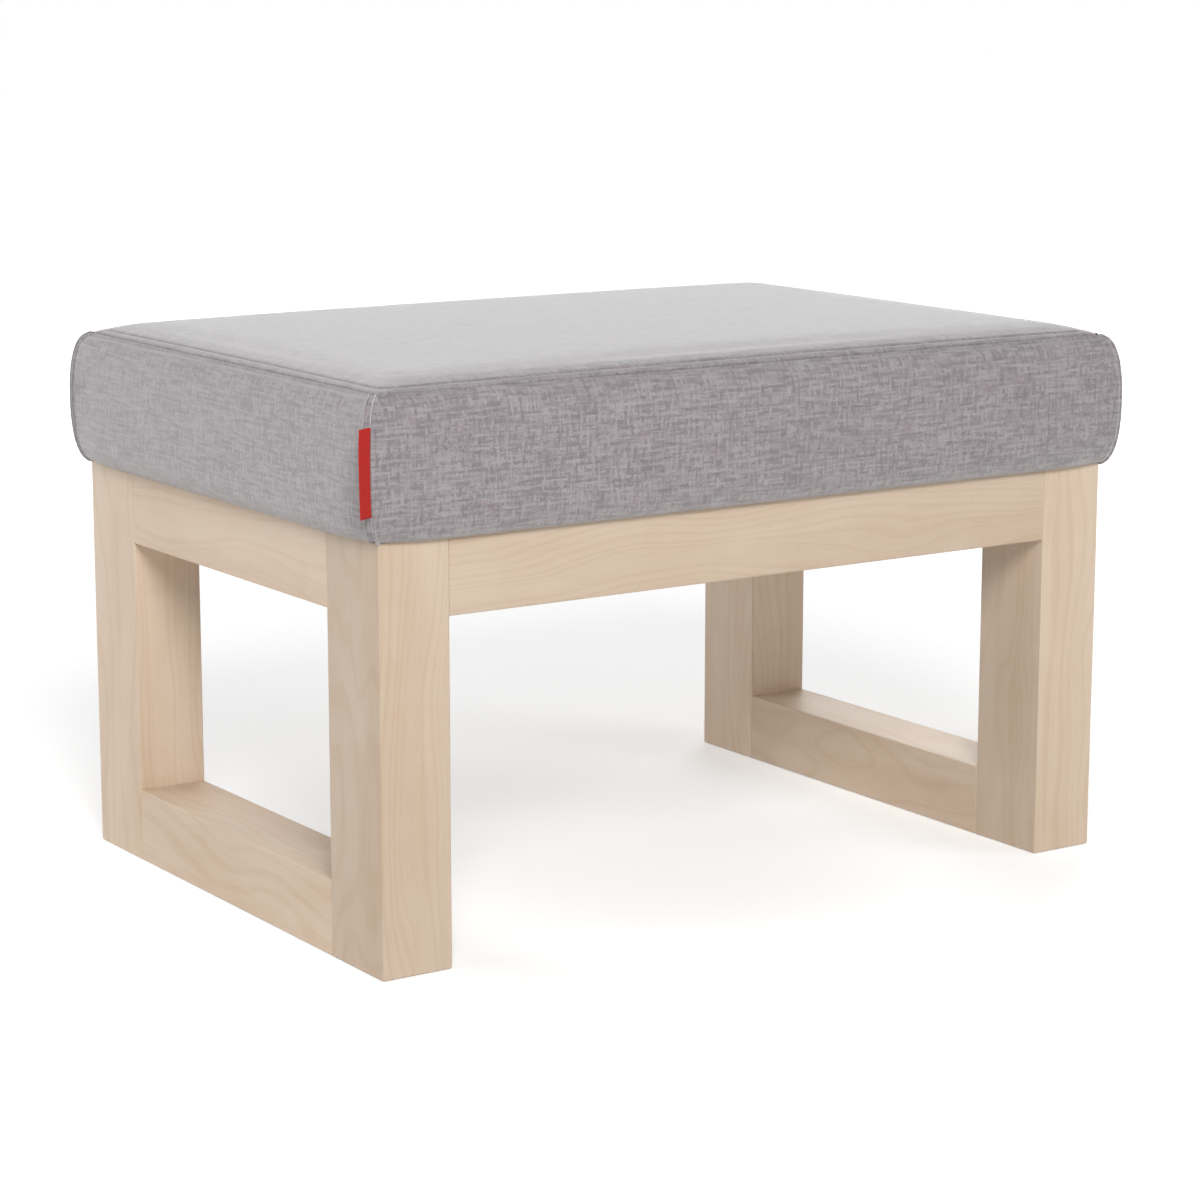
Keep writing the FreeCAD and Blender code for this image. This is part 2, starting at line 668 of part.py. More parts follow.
def make_form(name, depth, outlines):
    """A cushion-shaped solid: lofted edges, and a crown of two low hipped tiers."""
    tiers = []
    levels = crown_levels(depth)
    for number in range(len(levels) - 1):
        (low_inset, low), (high_inset, high) = levels[number], levels[number + 1]
        tier = doc.addObject("Part::Wedge", "%s_tier_%d" % (name, number))
        ranges = {
            "X": (HALF_WIDTH, low_inset), "X2": (HALF_WIDTH, high_inset),
            "Z": (HALF_DEPTH, low_inset), "Z2": (HALF_DEPTH, high_inset),
        }
        for letter, (half, inset) in ranges.items():
            tier.setExpression(letter + "min", "%s - %s" % (inset, half))
            tier.setExpression(letter + "max", "%s - %s" % (half, inset))
        # A wedge tapers along its own Y, which is turned upright here.
        tier.setExpression("Ymin", "0")
        tier.setExpression("Ymax", "%s - %s" % (high, low))
        tier.Placement = FreeCAD.Placement(
            FreeCAD.Vector(0, 0, value(low)), FreeCAD.Rotation(FreeCAD.Vector(1, 0, 0), 90))
        tier.setExpression(".Placement.Base.z", low)
        tiers.append(tier)
    form = doc.addObject("Part::MultiFuse", name)
    form.Shapes = [add_lofts(name + "_edges", outlines)] + tiers
    doc.recompute()
    return form


def make_panel_zone(name, outline):
    """The part of the cushion that one side panel covers, mitred at its two corners."""
    body = new_body(name)
    plan = new_sketch(body, name + "_plan", "XY_Plane", TOP_Z + " - size.panel_overlap")
    add_outline(plan, outline)
    pad(body, plan, "%s - %s + 2 * size.panel_overlap" % (SEAM_Z, TOP_Z))
    return body


def make_board_space():
    """The room that the board takes, without its bores."""
    body = new_body("board_space")
    plan = new_sketch(body, "board_space_plan", "XY_Plane", TOP_Z)
    add_rounded_rectangle(plan, BOARD_HALF_X, BOARD_HALF_Y, "size.board_corner_radius")
    pad(body, plan, "%s - %s" % (FOAM_Z, TOP_Z))
    return body


def make_cushion(foam):
    cloth = "size.cover_thickness"
    wadding_depth = "(size.cover_thickness + size.layer_gap)"

    wadding = make_form("wadding_form", wadding_depth,
                        [side_stations(wadding_depth), roll_stations(wadding_depth)])
    wrap = cut("fibre_wrap", cut("wadding_over_foam", wadding, foam), make_board_space())
    pieces.append(wrap)

    inside = make_form("cover_inside", cloth, [side_stations(cloth), roll_stations(cloth)])
    outer_side = add_lofts("cover_side", [side_stations("0")])
    outer_top = make_form("cover_top", "0", [roll_stations("0")])
    pieces.append(cut("cover_top_panel", outer_top, inside))

    wall = cut("cover_wall", outer_side, inside)
    far_x = HALF_WIDTH + " + 2 * size.side_bulge"
    far_y = HALF_DEPTH + " + 2 * size.side_bulge"
    near_x = HALF_WIDTH + " - size.hem_width"
    near_y = HALF_DEPTH + " - size.hem_width"
    for name, sign in (("front", -1), ("back", 1)):
        zone = make_panel_zone(name + "_zone", [
            (signed(-1, far_x), signed(sign, far_y)),
            (far_x, signed(sign, far_y)),
            (near_x, signed(sign, near_y)),
            (signed(-1, near_x), signed(sign, near_y)),
        ])
        pieces.append(common("cover_%s_panel" % name, wall, zone))
    for name, sign in (("left", -1), ("right", 1)):
        zone = make_panel_zone(name + "_zone", [
            (signed(sign, far_x), signed(-1, far_y)),
            (signed(sign, far_x), far_y),
            (signed(sign, near_x), near_y),
            (signed(sign, near_x), signed(-1, near_y)),
        ])
        pieces.append(common("cover_%s_panel" % name, wall, zone))
    return outer_side


def make_label(outer_side):
    """Folded ribbon that stands out of the upright seam at the front left corner."""
    body = new_body("ribbon")
    section = new_sketch(body, "ribbon_section", "XY_Plane", "0")
    tucked = "2 * size.cover_thickness"
    add_rectangle(section, "-" + tucked, "size.label_width",
                  "-size.label_thickness / 2", "size.label_thickness / 2")
    strip = pad(body, section, "size.label_height")
    reach = value("size.label_width")
    bevel_edges(body, strip, "size.label_edge_bevel",
                lambda start, end: min(start.x, end.x) > reach - 1e-6 and along(2)(start, end))
    overhang = "size.side_bulge - (1 - cos(45 deg)) * size.cushion_corner_radius"
    body.setExpression(".Placement.Base.x", "-(%s + %s)" % (HALF_WIDTH, overhang))
    body.setExpression(".Placement.Base.y", "-(%s + %s)" % (HALF_DEPTH, overhang))
    body.setExpression(".Placement.Base.z",
                       "%s - size.label_drop - size.label_height" % SEAM_Z)
    body.setExpression(".Placement.Rotation.Angle", "180 + size.label_angle")
    pieces.append(cut("side_label", body, outer_side))


for corner, (side, end) in CORNERS.items():
    make_leg(corner, side, end)
for place, side in (("left", -1), ("right", 1)):
    make_side_rail("top_rail_" + place, side, TOP_RAIL_Z)
    make_side_rail("floor_rail_" + place, side, FLOOR_RAIL_Z)
make_apron("apron_front", -1)
make_apron("apron_back", 1)
for corner, (side, end) in CORNERS.items():
    make_corner_block(corner, side, end)

make_block_screws()
make_seat_bolts()
make_inserts()
make_glides()

make_dust_cover()
make_board()
cushion_side = make_cushion(make_foam())
make_label(cushion_side)
doc.recompute()

for item in doc.Objects:
    if "Invalid" in item.State or "Error" in item.State:
        raise RuntimeError("%s failed: %s" % (item.Name, item.State))
for piece in pieces:
    if piece.Shape.isNull() or not piece.Shape.isValid():
        raise RuntimeError("%s has no valid shape" % piece.Label)
for piece in pieces:
    piece.Shape.exportStep("parts/%s.step" % piece.Label)
    print("%-28s %2d solids %9.1f cm3" % (
        piece.Label, len(piece.Shape.Solids), piece.Shape.Volume / 1000))
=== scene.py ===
import math

import bpy
import numpy as np
from mathutils import Matrix, Vector
from mathutils.bvhtree import BVHTree


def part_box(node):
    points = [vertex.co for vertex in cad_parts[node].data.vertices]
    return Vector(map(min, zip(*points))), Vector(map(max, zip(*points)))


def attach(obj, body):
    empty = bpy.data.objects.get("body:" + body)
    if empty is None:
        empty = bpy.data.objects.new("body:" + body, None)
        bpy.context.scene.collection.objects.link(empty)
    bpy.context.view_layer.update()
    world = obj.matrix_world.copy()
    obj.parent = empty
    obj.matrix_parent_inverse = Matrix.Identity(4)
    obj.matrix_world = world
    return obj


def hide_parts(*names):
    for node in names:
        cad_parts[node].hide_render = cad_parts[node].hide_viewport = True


bl_info = {
    "name": "Glider Ottoman",
    "version": (1, 0, 0),
    "blender": (4, 5, 0),
    "location": "View3D > Sidebar > Ottoman",
    "description": "Dresses the packed frame of an ottoman with its cushion, finishes and stage",
    "category": "Object",
}

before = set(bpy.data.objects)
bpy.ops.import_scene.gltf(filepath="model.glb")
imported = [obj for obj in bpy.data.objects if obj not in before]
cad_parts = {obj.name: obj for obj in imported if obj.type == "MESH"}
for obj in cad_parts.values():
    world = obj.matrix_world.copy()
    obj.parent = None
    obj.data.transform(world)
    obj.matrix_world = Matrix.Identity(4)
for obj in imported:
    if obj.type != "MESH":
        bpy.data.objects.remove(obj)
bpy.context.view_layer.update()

MM = 0.001
FRAME_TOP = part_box("leg_front_left")[1].z
HALF_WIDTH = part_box("leg_front_right")[1].x
HALF_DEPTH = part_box("leg_back_left")[1].y
# The offsets of a side panel lift its sewn edge off the outline, so the outline starts lower.
SEAM_DROP = 2.6 * MM
SEAM_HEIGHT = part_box("cover_front_panel")[1].z - SEAM_DROP
CROWN_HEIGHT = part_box("cover_top_panel")[1].z
HEM_HEIGHT = FRAME_TOP + 0.3 * MM
SHEEN_ROUGHNESS = 0.455

# Each side panel of the cover: the way it runs, the way it faces, and the half lengths of
# the frame along it and across it.
SIDES = {
    "front": ((1, 0), (0, -1), HALF_WIDTH, HALF_DEPTH),
    "right": ((0, 1), (1, 0), HALF_DEPTH, HALF_WIDTH),
    "back": ((-1, 0), (0, 1), HALF_WIDTH, HALF_DEPTH),
    "left": ((0, -1), (-1, 0), HALF_DEPTH, HALF_WIDTH),
}


def paint(red, green, blue):
    """A colour given as it shows, from 0 to 255, in the linear numbers that nodes take."""
    shares = [part / 255 for part in (red, green, blue)]
    return tuple(s / 12.92 if s <= 0.04045 else ((s + 0.055) / 1.055) ** 2.4 for s in shares)


# Settings


def length(name, description, millimetres):
    return bpy.props.FloatProperty(name=name, description=description,
                                   default=millimetres * MM, subtype="DISTANCE", unit="LENGTH")


def share(name, description, default):
    return bpy.props.FloatProperty(name=name, description=description, default=default)


def colour(name, description, red, green, blue):
    return bpy.props.FloatVectorProperty(name=name, description=description, subtype="COLOR",
                                         size=3, min=0, max=1, default=paint(red, green, blue))


class CushionSettings(bpy.types.PropertyGroup):
    """Shape and cloth of the cushion."""
    side_bulge: length("Side bulge", "How far the sides stand out past the frame", 10.7)
    side_fullness: share("Side fullness", "2 is an ellipse, more is squarer", 2.4)
    roll_width: length("Top roll", "From the top seam in to the flat of the top", 20)
    roll_fullness: share("Roll fullness", "2 is an ellipse, less is flatter", 1.5)
    crown_radius: length("Crown radius", "Radius of the slight dome of the top", 20000)
    corner_radius: length("Corner radius", "Upright corners, seen from above", 6)
    corner_spread: share("Corner spread", "Growth of the corner radius in from the seam", 0.95)
    hem_width: length("Hem", "Cloth turned under the board", 34)
    topstitch_inset: length("Topstitch inset", "From a seam to the row of stitches beside it", 6)
    slack: length("Slack", "How much smaller the filling starts, before it swells", 3.0)
    pressure: share("Pressure", "Air pressure that swells the cover", 4)
    light_yarn: colour("Light yarn", "Palest yarn of the cloth", 158, 152, 154)
    dark_yarn: colour("Dark yarn", "Darkest yarn of the cloth", 125, 119, 121)
    mauve_yarn: colour("Mauve yarn", "Tinted yarn that shows in patches", 154, 131, 138)
    thread: colour("Sewing thread", "Topstitching", 142, 137, 140)
    label: colour("Label", "Ribbon label", 190, 42, 36)


class TimberSettings(bpy.types.PropertyGroup):
    """Finish of the maple."""
    pale: colour("Pale maple", "Early wood", 214, 195, 174)
    deep: colour("Deep maple", "Late wood and figure", 197, 168, 140)
    fleck: colour("Fleck", "Short dark flecks", 172, 138, 108)
    roughness: share("Roughness", "Satin lacquer", 0.46)


class StageSettings(bpy.types.PropertyGroup):
    """Camera, lamps and floor."""
    lens: share("Lens", "Focal length in millimetres on a 36 mm sensor", 98.04)
    azimuth: share("Azimuth", "Degrees round the object, 0 looks along +Y", -33.866)
    elevation: share("Elevation", "Degrees above the horizon", 11.179)
    roll: share("Roll", "Degrees", 0.058)
    distance: share("Distance", "Camera to the point it looks at, in metres", 2.3437)
    world_light: share("World light", "Strength of the surrounding white", 0.17)
    key_light: share("Key lamp", "Watts, high behind the camera", 67.0)
    side_light: share("Side lamp", "Watts, front right", 16.0)
    top_light: share("Top lamp", "Watts", 9.0)
    back_left_light: share("Back left lamp", "Watts", 30.0)
    back_right_light: share("Back right lamp", "Watts", 24.0)
    floor_lift: share("Floor lift", "White that the camera sees added to the floor", 0.315)


# Node helpers


class Recipe:
    """Short calls to fill a node tree."""

    def __init__(self, tree):
        self.tree = tree
        self.column = 0

    def node(self, kind, inputs=(), **options):
        made = self.tree.nodes.new(kind)
        self.column += 1
        made.location = (self.column * 190, 0)
        for name, value in options.items():
            setattr(made, name, value)
        for socket, value in dict(inputs).items():
            self.put(made.inputs[socket], value)
        return made

    def put(self, socket, value):
        if isinstance(value, bpy.types.NodeSocket):
            self.tree.links.new(value, socket)
        elif isinstance(value, bpy.types.Node):
            self.tree.links.new(value.outputs[0], socket)
        elif socket.type == "RGBA":
            socket.default_value = (*value, 1)
        else:
            socket.default_value = value

    def math(self, operation, *values, clamp=False):
        return self.node("ShaderNodeMath", enumerate(values), operation=operation,
                         use_clamp=clamp).outputs[0]

    def scaled(self, vector, scale):
        return self.node("ShaderNodeVectorMath", {0: vector, 1: scale},
                         operation="MULTIPLY").outputs[0]

    def moved(self, vector, offset):
        return self.node("ShaderNodeVectorMath", {0: vector, 1: offset},
                         operation="ADD").outputs[0]

    def noise(self, vector, scale=1.0, detail=2.0, roughness=0.5, distortion=0.0):
        made = self.node("ShaderNodeTexNoise", {
            "Vector": vector, "Scale": scale, "Detail": detail, "Roughness": roughness,
            "Distortion": distortion})
        return made.outputs["Fac"]

    def streaks(self, place, scale, offset=(0, 0, 0), detail=2.0):
        """Noise stretched by a scale for each axis. The offset keeps two of them apart."""
        return self.noise(self.moved(self.scaled(place, scale), offset), detail=detail)

    def object_place(self):
        return self.node("ShaderNodeTexCoord").outputs["Object"]

    def cloth_place(self):
        """Place on a panel of cloth, in metres."""
        return self.node("ShaderNodeUVMap", uv_map="cloth").outputs[0]

    def length_of(self, vector):
        return self.node("ShaderNodeVectorMath", {0: vector}, operation="LENGTH").outputs["Value"]

    def seen_directly(self):
        """1 for what the camera, reflections and clear materials see, 0 for light on the object."""
        path = self.node("ShaderNodeLightPath")
        return self.math("MAXIMUM", path.outputs["Is Camera Ray"],
                         self.math("MAXIMUM", path.outputs["Is Glossy Ray"],
                                   path.outputs["Is Transmission Ray"]))

    def mix(self, factor, first, second):
        made = self.node("ShaderNodeMix", data_type="RGBA")
        for socket, value in ((0, factor), (6, first), (7, second)):
            self.put(made.inputs[socket], value)
        return made.outputs[2]

    def between(self, value, low, high, to_low=0.0, to_high=1.0):
        """Maps low..high of a value to another range, smoothly and clamped."""
        return self.node("ShaderNodeMapRange", {
            "Value": value, "From Min": low, "From Max": high, "To Min": to_low,
            "To Max": to_high}, interpolation_type="SMOOTHSTEP").outputs[0]


def new_material(name, roughness=0.5, specular=0.5, metallic=0.0, sheen=0.0):
    """A material with a Principled shader. Returns it with its recipe and shader."""
    material = bpy.data.materials.new(name)
    material.use_nodes = True
    material.node_tree.nodes.clear()
    recipe = Recipe(material.node_tree)
    shader = recipe.node("ShaderNodeBsdfPrincipled", {
        "Roughness": roughness, "Specular IOR Level": specular, "Metallic": metallic,
        "Sheen Weight": sheen, "Sheen Roughness": SHEEN_ROUGHNESS})
    output = recipe.node("ShaderNodeOutputMaterial", {"Surface": shader})
    shader.location = (3600, 0)
    output.location = (3900, 0)
    return material, recipe, shader


def two_tone(recipe, shader, factor, first, second):
    recipe.put(shader.inputs["Base Color"], recipe.mix(factor, first, second))


def worn(recipe, shader, factor, smooth, rough):
    """Roughness that varies with a noise."""
    recipe.put(shader.inputs["Roughness"], recipe.between(factor, 0.3, 0.7, smooth, rough))


def add_bump(recipe, shader, height, distance, strength):
    bump = recipe.node("ShaderNodeBump", {
        "Height": height, "Distance": distance, "Strength": strength})
    recipe.put(shader.inputs["Normal"], bump)


# Finishes


# Sizes of what shows in the cloth, as repeats in a metre along and across a panel.
WEFT_SLUBS, WARP_SLUBS, LONG_SLUBS = (54, 450, 1), (450, 72, 1), (30, 400, 1)
YARN_CLUMPS, CLOUDS = (280, 280, 1), (26, 26, 1)
TINTED_PATCHES, TINTED_YARNS = (42, 60, 1), (160, 700, 1)
# Radians in a metre: yarns pass over and under each other every 1.7 and 1.8 mm.
YARN_WAVES = (3700, 3400, 1)


def woven_cloth(name, settings):
    """Heathered upholstery cloth, woven of uneven yarns that run along and across a panel."""
    material, recipe, shader = new_material(name, roughness=0.92, specular=0.15, sheen=1.0)
    place = recipe.cloth_place()

    # Slubs: short lengths of each yarn are paler or darker than the rest.
    along_weft = recipe.streaks(place, WEFT_SLUBS)
    along_warp = recipe.streaks(place, WARP_SLUBS, (31, 17, 0))
    long_weft = recipe.streaks(place, LONG_SLUBS, (7, 71, 0), detail=1.5)
    # Which of the two yarns lies on top, in clumps a few yarns wide.
    upper = recipe.between(recipe.streaks(place, YARN_CLUMPS, (3, 9, 0)), 0.42, 0.58)
    yarn = recipe.math("ADD", recipe.math("MULTIPLY", along_weft, upper),
                       recipe.math("MULTIPLY", along_warp, recipe.math("SUBTRACT", 1.0, upper)))
    yarn = recipe.math("ADD", recipe.math("MULTIPLY", yarn, 0.76),
                       recipe.math("MULTIPLY", long_weft, 0.24))
    cloudy = recipe.streaks(place, CLOUDS, (5, 5, 0), detail=3.0)
    yarn = recipe.math("ADD", yarn, recipe.math("MULTIPLY_ADD", cloudy, 0.10, -0.05))
    base = recipe.mix(recipe.between(yarn, 0.36, 0.64), settings.dark_yarn, settings.light_yarn)
    tinted = recipe.between(
        recipe.streaks(place, TINTED_PATCHES, (13, 1, 0), detail=3.0), 0.52, 0.68)
    streak = recipe.between(recipe.streaks(place, TINTED_YARNS, (2, 23, 0)), 0.5, 0.62)
    mauve = recipe.math("MULTIPLY", recipe.math("MULTIPLY", tinted, streak), 0.55)
    two_tone(recipe, shader, mauve, base, settings.mauve_yarn)

    # Relief: yarns pass over and under each other.
    split = recipe.node("ShaderNodeSeparateXYZ", {0: recipe.scaled(place, YARN_WAVES)})
    over = recipe.math("MULTIPLY", recipe.math("SINE", split.outputs[0]),
                       recipe.math("SINE", split.outputs[1]))
    relief = recipe.math("ADD", recipe.math("MULTIPLY", over, 0.30), yarn)
    add_bump(recipe, shader, relief, 0.4 * MM, 0.5)
    return material


def maple_figure():
    """Colour and grain of maple from a board's own coordinates, in metres, X along the grain."""
    group = bpy.data.node_groups.new("maple_figure", "ShaderNodeTree")
    for name, kind, way in (("Board", "Vector", "INPUT"), ("Pale", "Color", "INPUT"),
                            ("Deep", "Color", "INPUT"), ("Fleck", "Color", "INPUT"),
                            ("Color", "Color", "OUTPUT"), ("Grain", "Float", "OUTPUT")):
        group.interface.new_socket(name, in_out=way, socket_type="NodeSocket" + kind)
    recipe = Recipe(group)
    given = recipe.node("NodeGroupInput")
    board = given.outputs["Board"]

    # Growth rings are cylinders about a pith that wanders, cut by the board's faces.
    wander = recipe.noise(recipe.scaled(board, (3.0, 9, 9)), detail=2.0, roughness=0.55)
    ripple = recipe.streaks(board, (9, 30, 30))
    split = recipe.node("ShaderNodeSeparateXYZ", {0: board})
    across = recipe.node("ShaderNodeCombineXYZ", {1: split.outputs[1], 2: split.outputs[2]})
    radius = recipe.math("MULTIPLY_ADD", wander, 0.075, recipe.length_of(across))
    radius = recipe.math("MULTIPLY_ADD", ripple, 0.008, radius)
    ring = recipe.noise(recipe.node("ShaderNodeCombineXYZ", {0: radius}), scale=260, detail=2.0,
                        roughness=0.6)
    late = recipe.between(ring, 0.42, 0.72)
    line = recipe.between(recipe.math("ABSOLUTE", recipe.math("SUBTRACT", ring, 0.56)),
                          0.0, 0.03, 1.0, 0.0)

    soft = recipe.streaks(board, (5, 26, 26), detail=3.0)
    curl = recipe.streaks(board, (48, 9, 9), detail=1.5)
    fibre = recipe.noise(recipe.scaled(board, (22, 900, 900)), detail=2.0, roughness=0.6)
    tone = recipe.math("MULTIPLY", late, 0.30)
    tone = recipe.math("MULTIPLY_ADD", line, 0.12, tone)
    tone = recipe.math("MULTIPLY_ADD", recipe.between(soft, 0.3, 0.7), 0.42, tone)
    tone = recipe.math("MULTIPLY_ADD", recipe.math("SUBTRACT", curl, 0.5), 0.22, tone)
    tone = recipe.math("MULTIPLY_ADD", recipe.math("SUBTRACT", fibre, 0.5), 0.24, tone)
    wood = recipe.mix(recipe.math("ADD", tone, 0.0, clamp=True), given.outputs["Pale"],
                      given.outputs["Deep"])
    speck = recipe.streaks(board, (160, 1500, 1500), detail=1.0)
    speck = recipe.math("MULTIPLY", recipe.between(speck, 0.68, 0.78), 0.30)
    wood = recipe.mix(speck, wood, given.outputs["Fleck"])
    grain = recipe.math("MULTIPLY_ADD", speck, -1.5, fibre)
    recipe.node("NodeGroupOutput", {"Color": wood, "Grain": grain})
    return group


# Boards made paler or darker than the rest. This is part tone of their own and part painted light
# and shade: the back legs and the side rails, which lie more in shade, are painted paler, and the
# near front leg and the front apron, which the lamps light most, are painted darker.
BOARD_TONE_AND_PAINTED_LIGHT = {"leg_front_left": 0.90, "apron_front": 0.88, "leg_back_left": 1.08,
              "leg_back_right": 1.18, "top_rail_left": 1.06, "floor_rail_left": 1.05,
              "floor_rail_right": 1.06, "leg_front_right": 0.99}

# How a board's coordinates turn so that X runs along its grain.
ALONG_GRAIN = {"X": (0, 0, 0), "Y": (0, 0, math.pi / 2), "Z": (0, math.pi / 2, 0)}


def maple(name, figure, settings, grain, heart, tone):
    """Lacquered maple. Grain is the axis it runs along, heart is where the log's pith lies, and
    a tone above 1 makes the board paler; on some boards the tone is painted light and shade.
    """
    material, recipe, shader = new_material(name, specular=0.42)
    place = recipe.object_place()
    board = recipe.node("ShaderNodeMapping", {
        "Vector": place, "Rotation": ALONG_GRAIN[grain], "Location": heart})
    wood = recipe.node("ShaderNodeGroup", node_tree=figure)
    recipe.put(wood.inputs["Board"], board)
    # The tone scales all three colours; on some boards it is painted light and shade.
    for socket, value in (("Pale", settings.pale), ("Deep", settings.deep),
                          ("Fleck", settings.fleck)):
        recipe.put(wood.inputs[socket], tuple(part * tone for part in value))
    recipe.put(shader.inputs["Base Color"], wood.outputs["Color"])
    polish = recipe.between(wood.outputs["Grain"], 0.2, 0.8, settings.roughness - 0.05,
                            settings.roughness + 0.07)
    recipe.put(shader.inputs["Roughness"], polish)
    add_bump(recipe, shader, wood.outputs["Grain"], 0.08 * MM, 0.5)
    return material


PAIR_OF_PLIES = 2.8 * MM


def birch_plywood(name):
    """Birch plywood: thin plies, every other one cut across."""
    material, recipe, shader = new_material(name, roughness=0.6, specular=0.3)
    place = recipe.object_place()
    split = recipe.node("ShaderNodeSeparateXYZ", {0: place})
    ply = recipe.math("SINE", recipe.math("MULTIPLY", split.outputs[2],
                                          2 * math.pi / PAIR_OF_PLIES))
    fibre = recipe.streaks(place, (20, 600, 600), detail=3.0)
    pale = recipe.mix(recipe.between(fibre, 0.3, 0.7), paint(224, 200, 166), paint(206, 176, 138))
    two_tone(recipe, shader, recipe.between(ply, -0.2, 0.2, 0.0, 0.35), pale, paint(168, 130, 92))
    add_bump(recipe, shader, fibre, 0.2 * MM, 0.5)
    return material


def zinc_steel(name):
    """Zinc-plated steel with a faint mottle."""
    material, recipe, shader = new_material(name, metallic=1.0)
    place = recipe.object_place()
    mottle = recipe.noise(place, scale=900, detail=3.0)
    two_tone(recipe, shader, mottle, paint(186, 186, 180), paint(214, 214, 210))
    worn(recipe, shader, mottle, 0.26, 0.42)
    return material


def plain_brass(name):
    """Brass of the threaded inserts, with turning marks."""
    material, recipe, shader = new_material(name, metallic=1.0)
    place = recipe.object_place()
    marks = recipe.streaks(place, (200, 200, 4000))
    two_tone(recipe, shader, marks, paint(198, 164, 96), paint(222, 190, 122))
    worn(recipe, shader, marks, 0.25, 0.4)
    return material


def nylon(name):
    """Off-white nylon of the floor glides, a little scuffed."""
    material, recipe, shader = new_material(name, specular=0.4)
    place = recipe.object_place()
    scuff = recipe.streaks(place, (900, 140, 400), detail=4.0)
    two_tone(recipe, shader, scuff, paint(214, 209, 198), paint(232, 229, 222))
    worn(recipe, shader, scuff, 0.4, 0.6)
    add_bump(recipe, shader, scuff, 0.1 * MM, 0.6)
    return material


def foam_cells(name):
    """Cream polyurethane foam with open cells."""
    material, recipe, shader = new_material(name, roughness=0.95, specular=0.1)
    place = recipe.object_place()
    cells = recipe.node("ShaderNodeTexVoronoi", {"Vector": place, "Scale": 900}).outputs[0]
    two_tone(recipe, shader, cells, paint(238, 228, 196), paint(214, 200, 160))
    add_bump(recipe, shader, cells, 0.6 * MM, 0.8)
    return material


def white_fibre(name):
    """White polyester wadding."""
    material, recipe, shader = new_material(name, roughness=0.9, specular=0.15, sheen=0.5)
    place = recipe.object_place()
    tangle = recipe.noise(place, scale=420, detail=5.0, roughness=0.7, distortion=1.5)
    two_tone(recipe, shader, tangle, paint(226, 226, 224), paint(244, 244, 242))
    add_bump(recipe, shader, tangle, 1.0 * MM, 0.8)
    return material


def black_cambric(name):
    """Thin black dust cloth, pressed from fibres, with a dimpled print of fine dots."""
    material, recipe, shader = new_material(name, roughness=0.85, specular=0.2, sheen=0.15)
    place = recipe.cloth_place()
    tangle = recipe.noise(place, scale=900, detail=4.0, roughness=0.7)
    dots = recipe.node("ShaderNodeTexVoronoi", {"Vector": place, "Scale": 620,
                                                "Randomness": 0.12}).outputs[0]
    dimple = recipe.between(dots, 0.12, 0.35)
    cloth = recipe.mix(tangle, paint(28, 28, 29), paint(52, 52, 53))
    two_tone(recipe, shader, dimple, paint(20, 20, 21), cloth)
    add_bump(recipe, shader, dimple, 0.3 * MM, 0.6)
    return material


# Radians in a metre: the ribbon has a rib every 0.7 mm.
RIBBON_RIBS = 9000


def ribbon_weave(name, settings):
    """Red woven ribbon: fine ribs across it."""
    material, recipe, shader = new_material(name, roughness=0.7, specular=0.2)
    place = recipe.cloth_place()
    split = recipe.node("ShaderNodeSeparateXYZ", {
        0: recipe.scaled(place, (RIBBON_RIBS, RIBBON_RIBS, 1))})
    ribs = recipe.math("MULTIPLY_ADD", recipe.math("SINE", split.outputs[1]), 0.5, 0.5)
    threads = recipe.streaks(place, (300, 3000, 1))
    deep = tuple(part * 0.72 for part in settings.label)
    # Painted shade: the grooves between the ribs are coloured darker. This is mixed with the
    # threads' own unevenness.
    rib_shade_and_yarn = recipe.math("MULTIPLY_ADD", ribs, 0.35, recipe.math("MULTIPLY", threads, 0.65))
    two_tone(recipe, shader, rib_shade_and_yarn, deep, settings.label)
    add_bump(recipe, shader, ribs, 0.15 * MM, 0.6)
    return material


def spun_thread(name, settings):
    """Sewing thread, twisted."""
    material, recipe, shader = new_material(name, roughness=0.6, specular=0.3, sheen=0.2)
    place = recipe.object_place()
    twist = recipe.noise(place, scale=2600, detail=2.0)
    pale = tuple(min(1.0, part * 1.25) for part in settings.thread)
    two_tone(recipe, shader, twist, settings.thread, pale)
    add_bump(recipe, shader, twist, 0.1 * MM, 0.5)
    return material


# Mesh helpers


def new_piece(name, points, faces, material, uv=None):
    """A smooth mesh piece from points in metres, with an optional map of its points."""
    mesh = bpy.data.meshes.new(name)
    mesh.from_pydata([tuple(p) for p in points], [], faces)
    mesh.polygons.foreach_set("use_smooth", [True] * len(mesh.polygons))
    if uv is not None:
        layer = mesh.uv_layers.new(name="cloth")
        corners = np.zeros(len(mesh.loops), np.int32)
        mesh.loops.foreach_get("vertex_index", corners)
        layer.data.foreach_set("uv", np.asarray(uv, float)[corners].ravel())
    mesh.materials.append(material)
    mesh.validate()
    mesh.update()
    piece = bpy.data.objects.new(name, mesh)
    bpy.context.scene.collection.objects.link(piece)
    return piece


def grid_faces(rows, columns, closed=False):
    """Quads of a grid of points, row by row. A closed one joins its last column to its first."""
    faces = []
    for row in range(rows - 1):
        for column in range(columns if closed else columns - 1):
            following = (column + 1) % columns
            low, high = row * columns, (row + 1) * columns
            faces.append((low + column, low + following, high + following, high + column))
    return faces


def grid_normals(points):
    """Unit normals of a grid of points, rows by columns. A side panel's point into the cushion."""
    down, across = np.gradient(points, axis=0), np.gradient(points, axis=1)
    normals = np.cross(across, down)
    return normals / np.maximum(np.linalg.norm(normals, axis=2, keepdims=True), 1e-12)


def travelled(points):
    """Distance covered at each of a line's points."""
    return np.concatenate([[0], np.cumsum(np.linalg.norm(np.diff(points, axis=0), axis=1))])


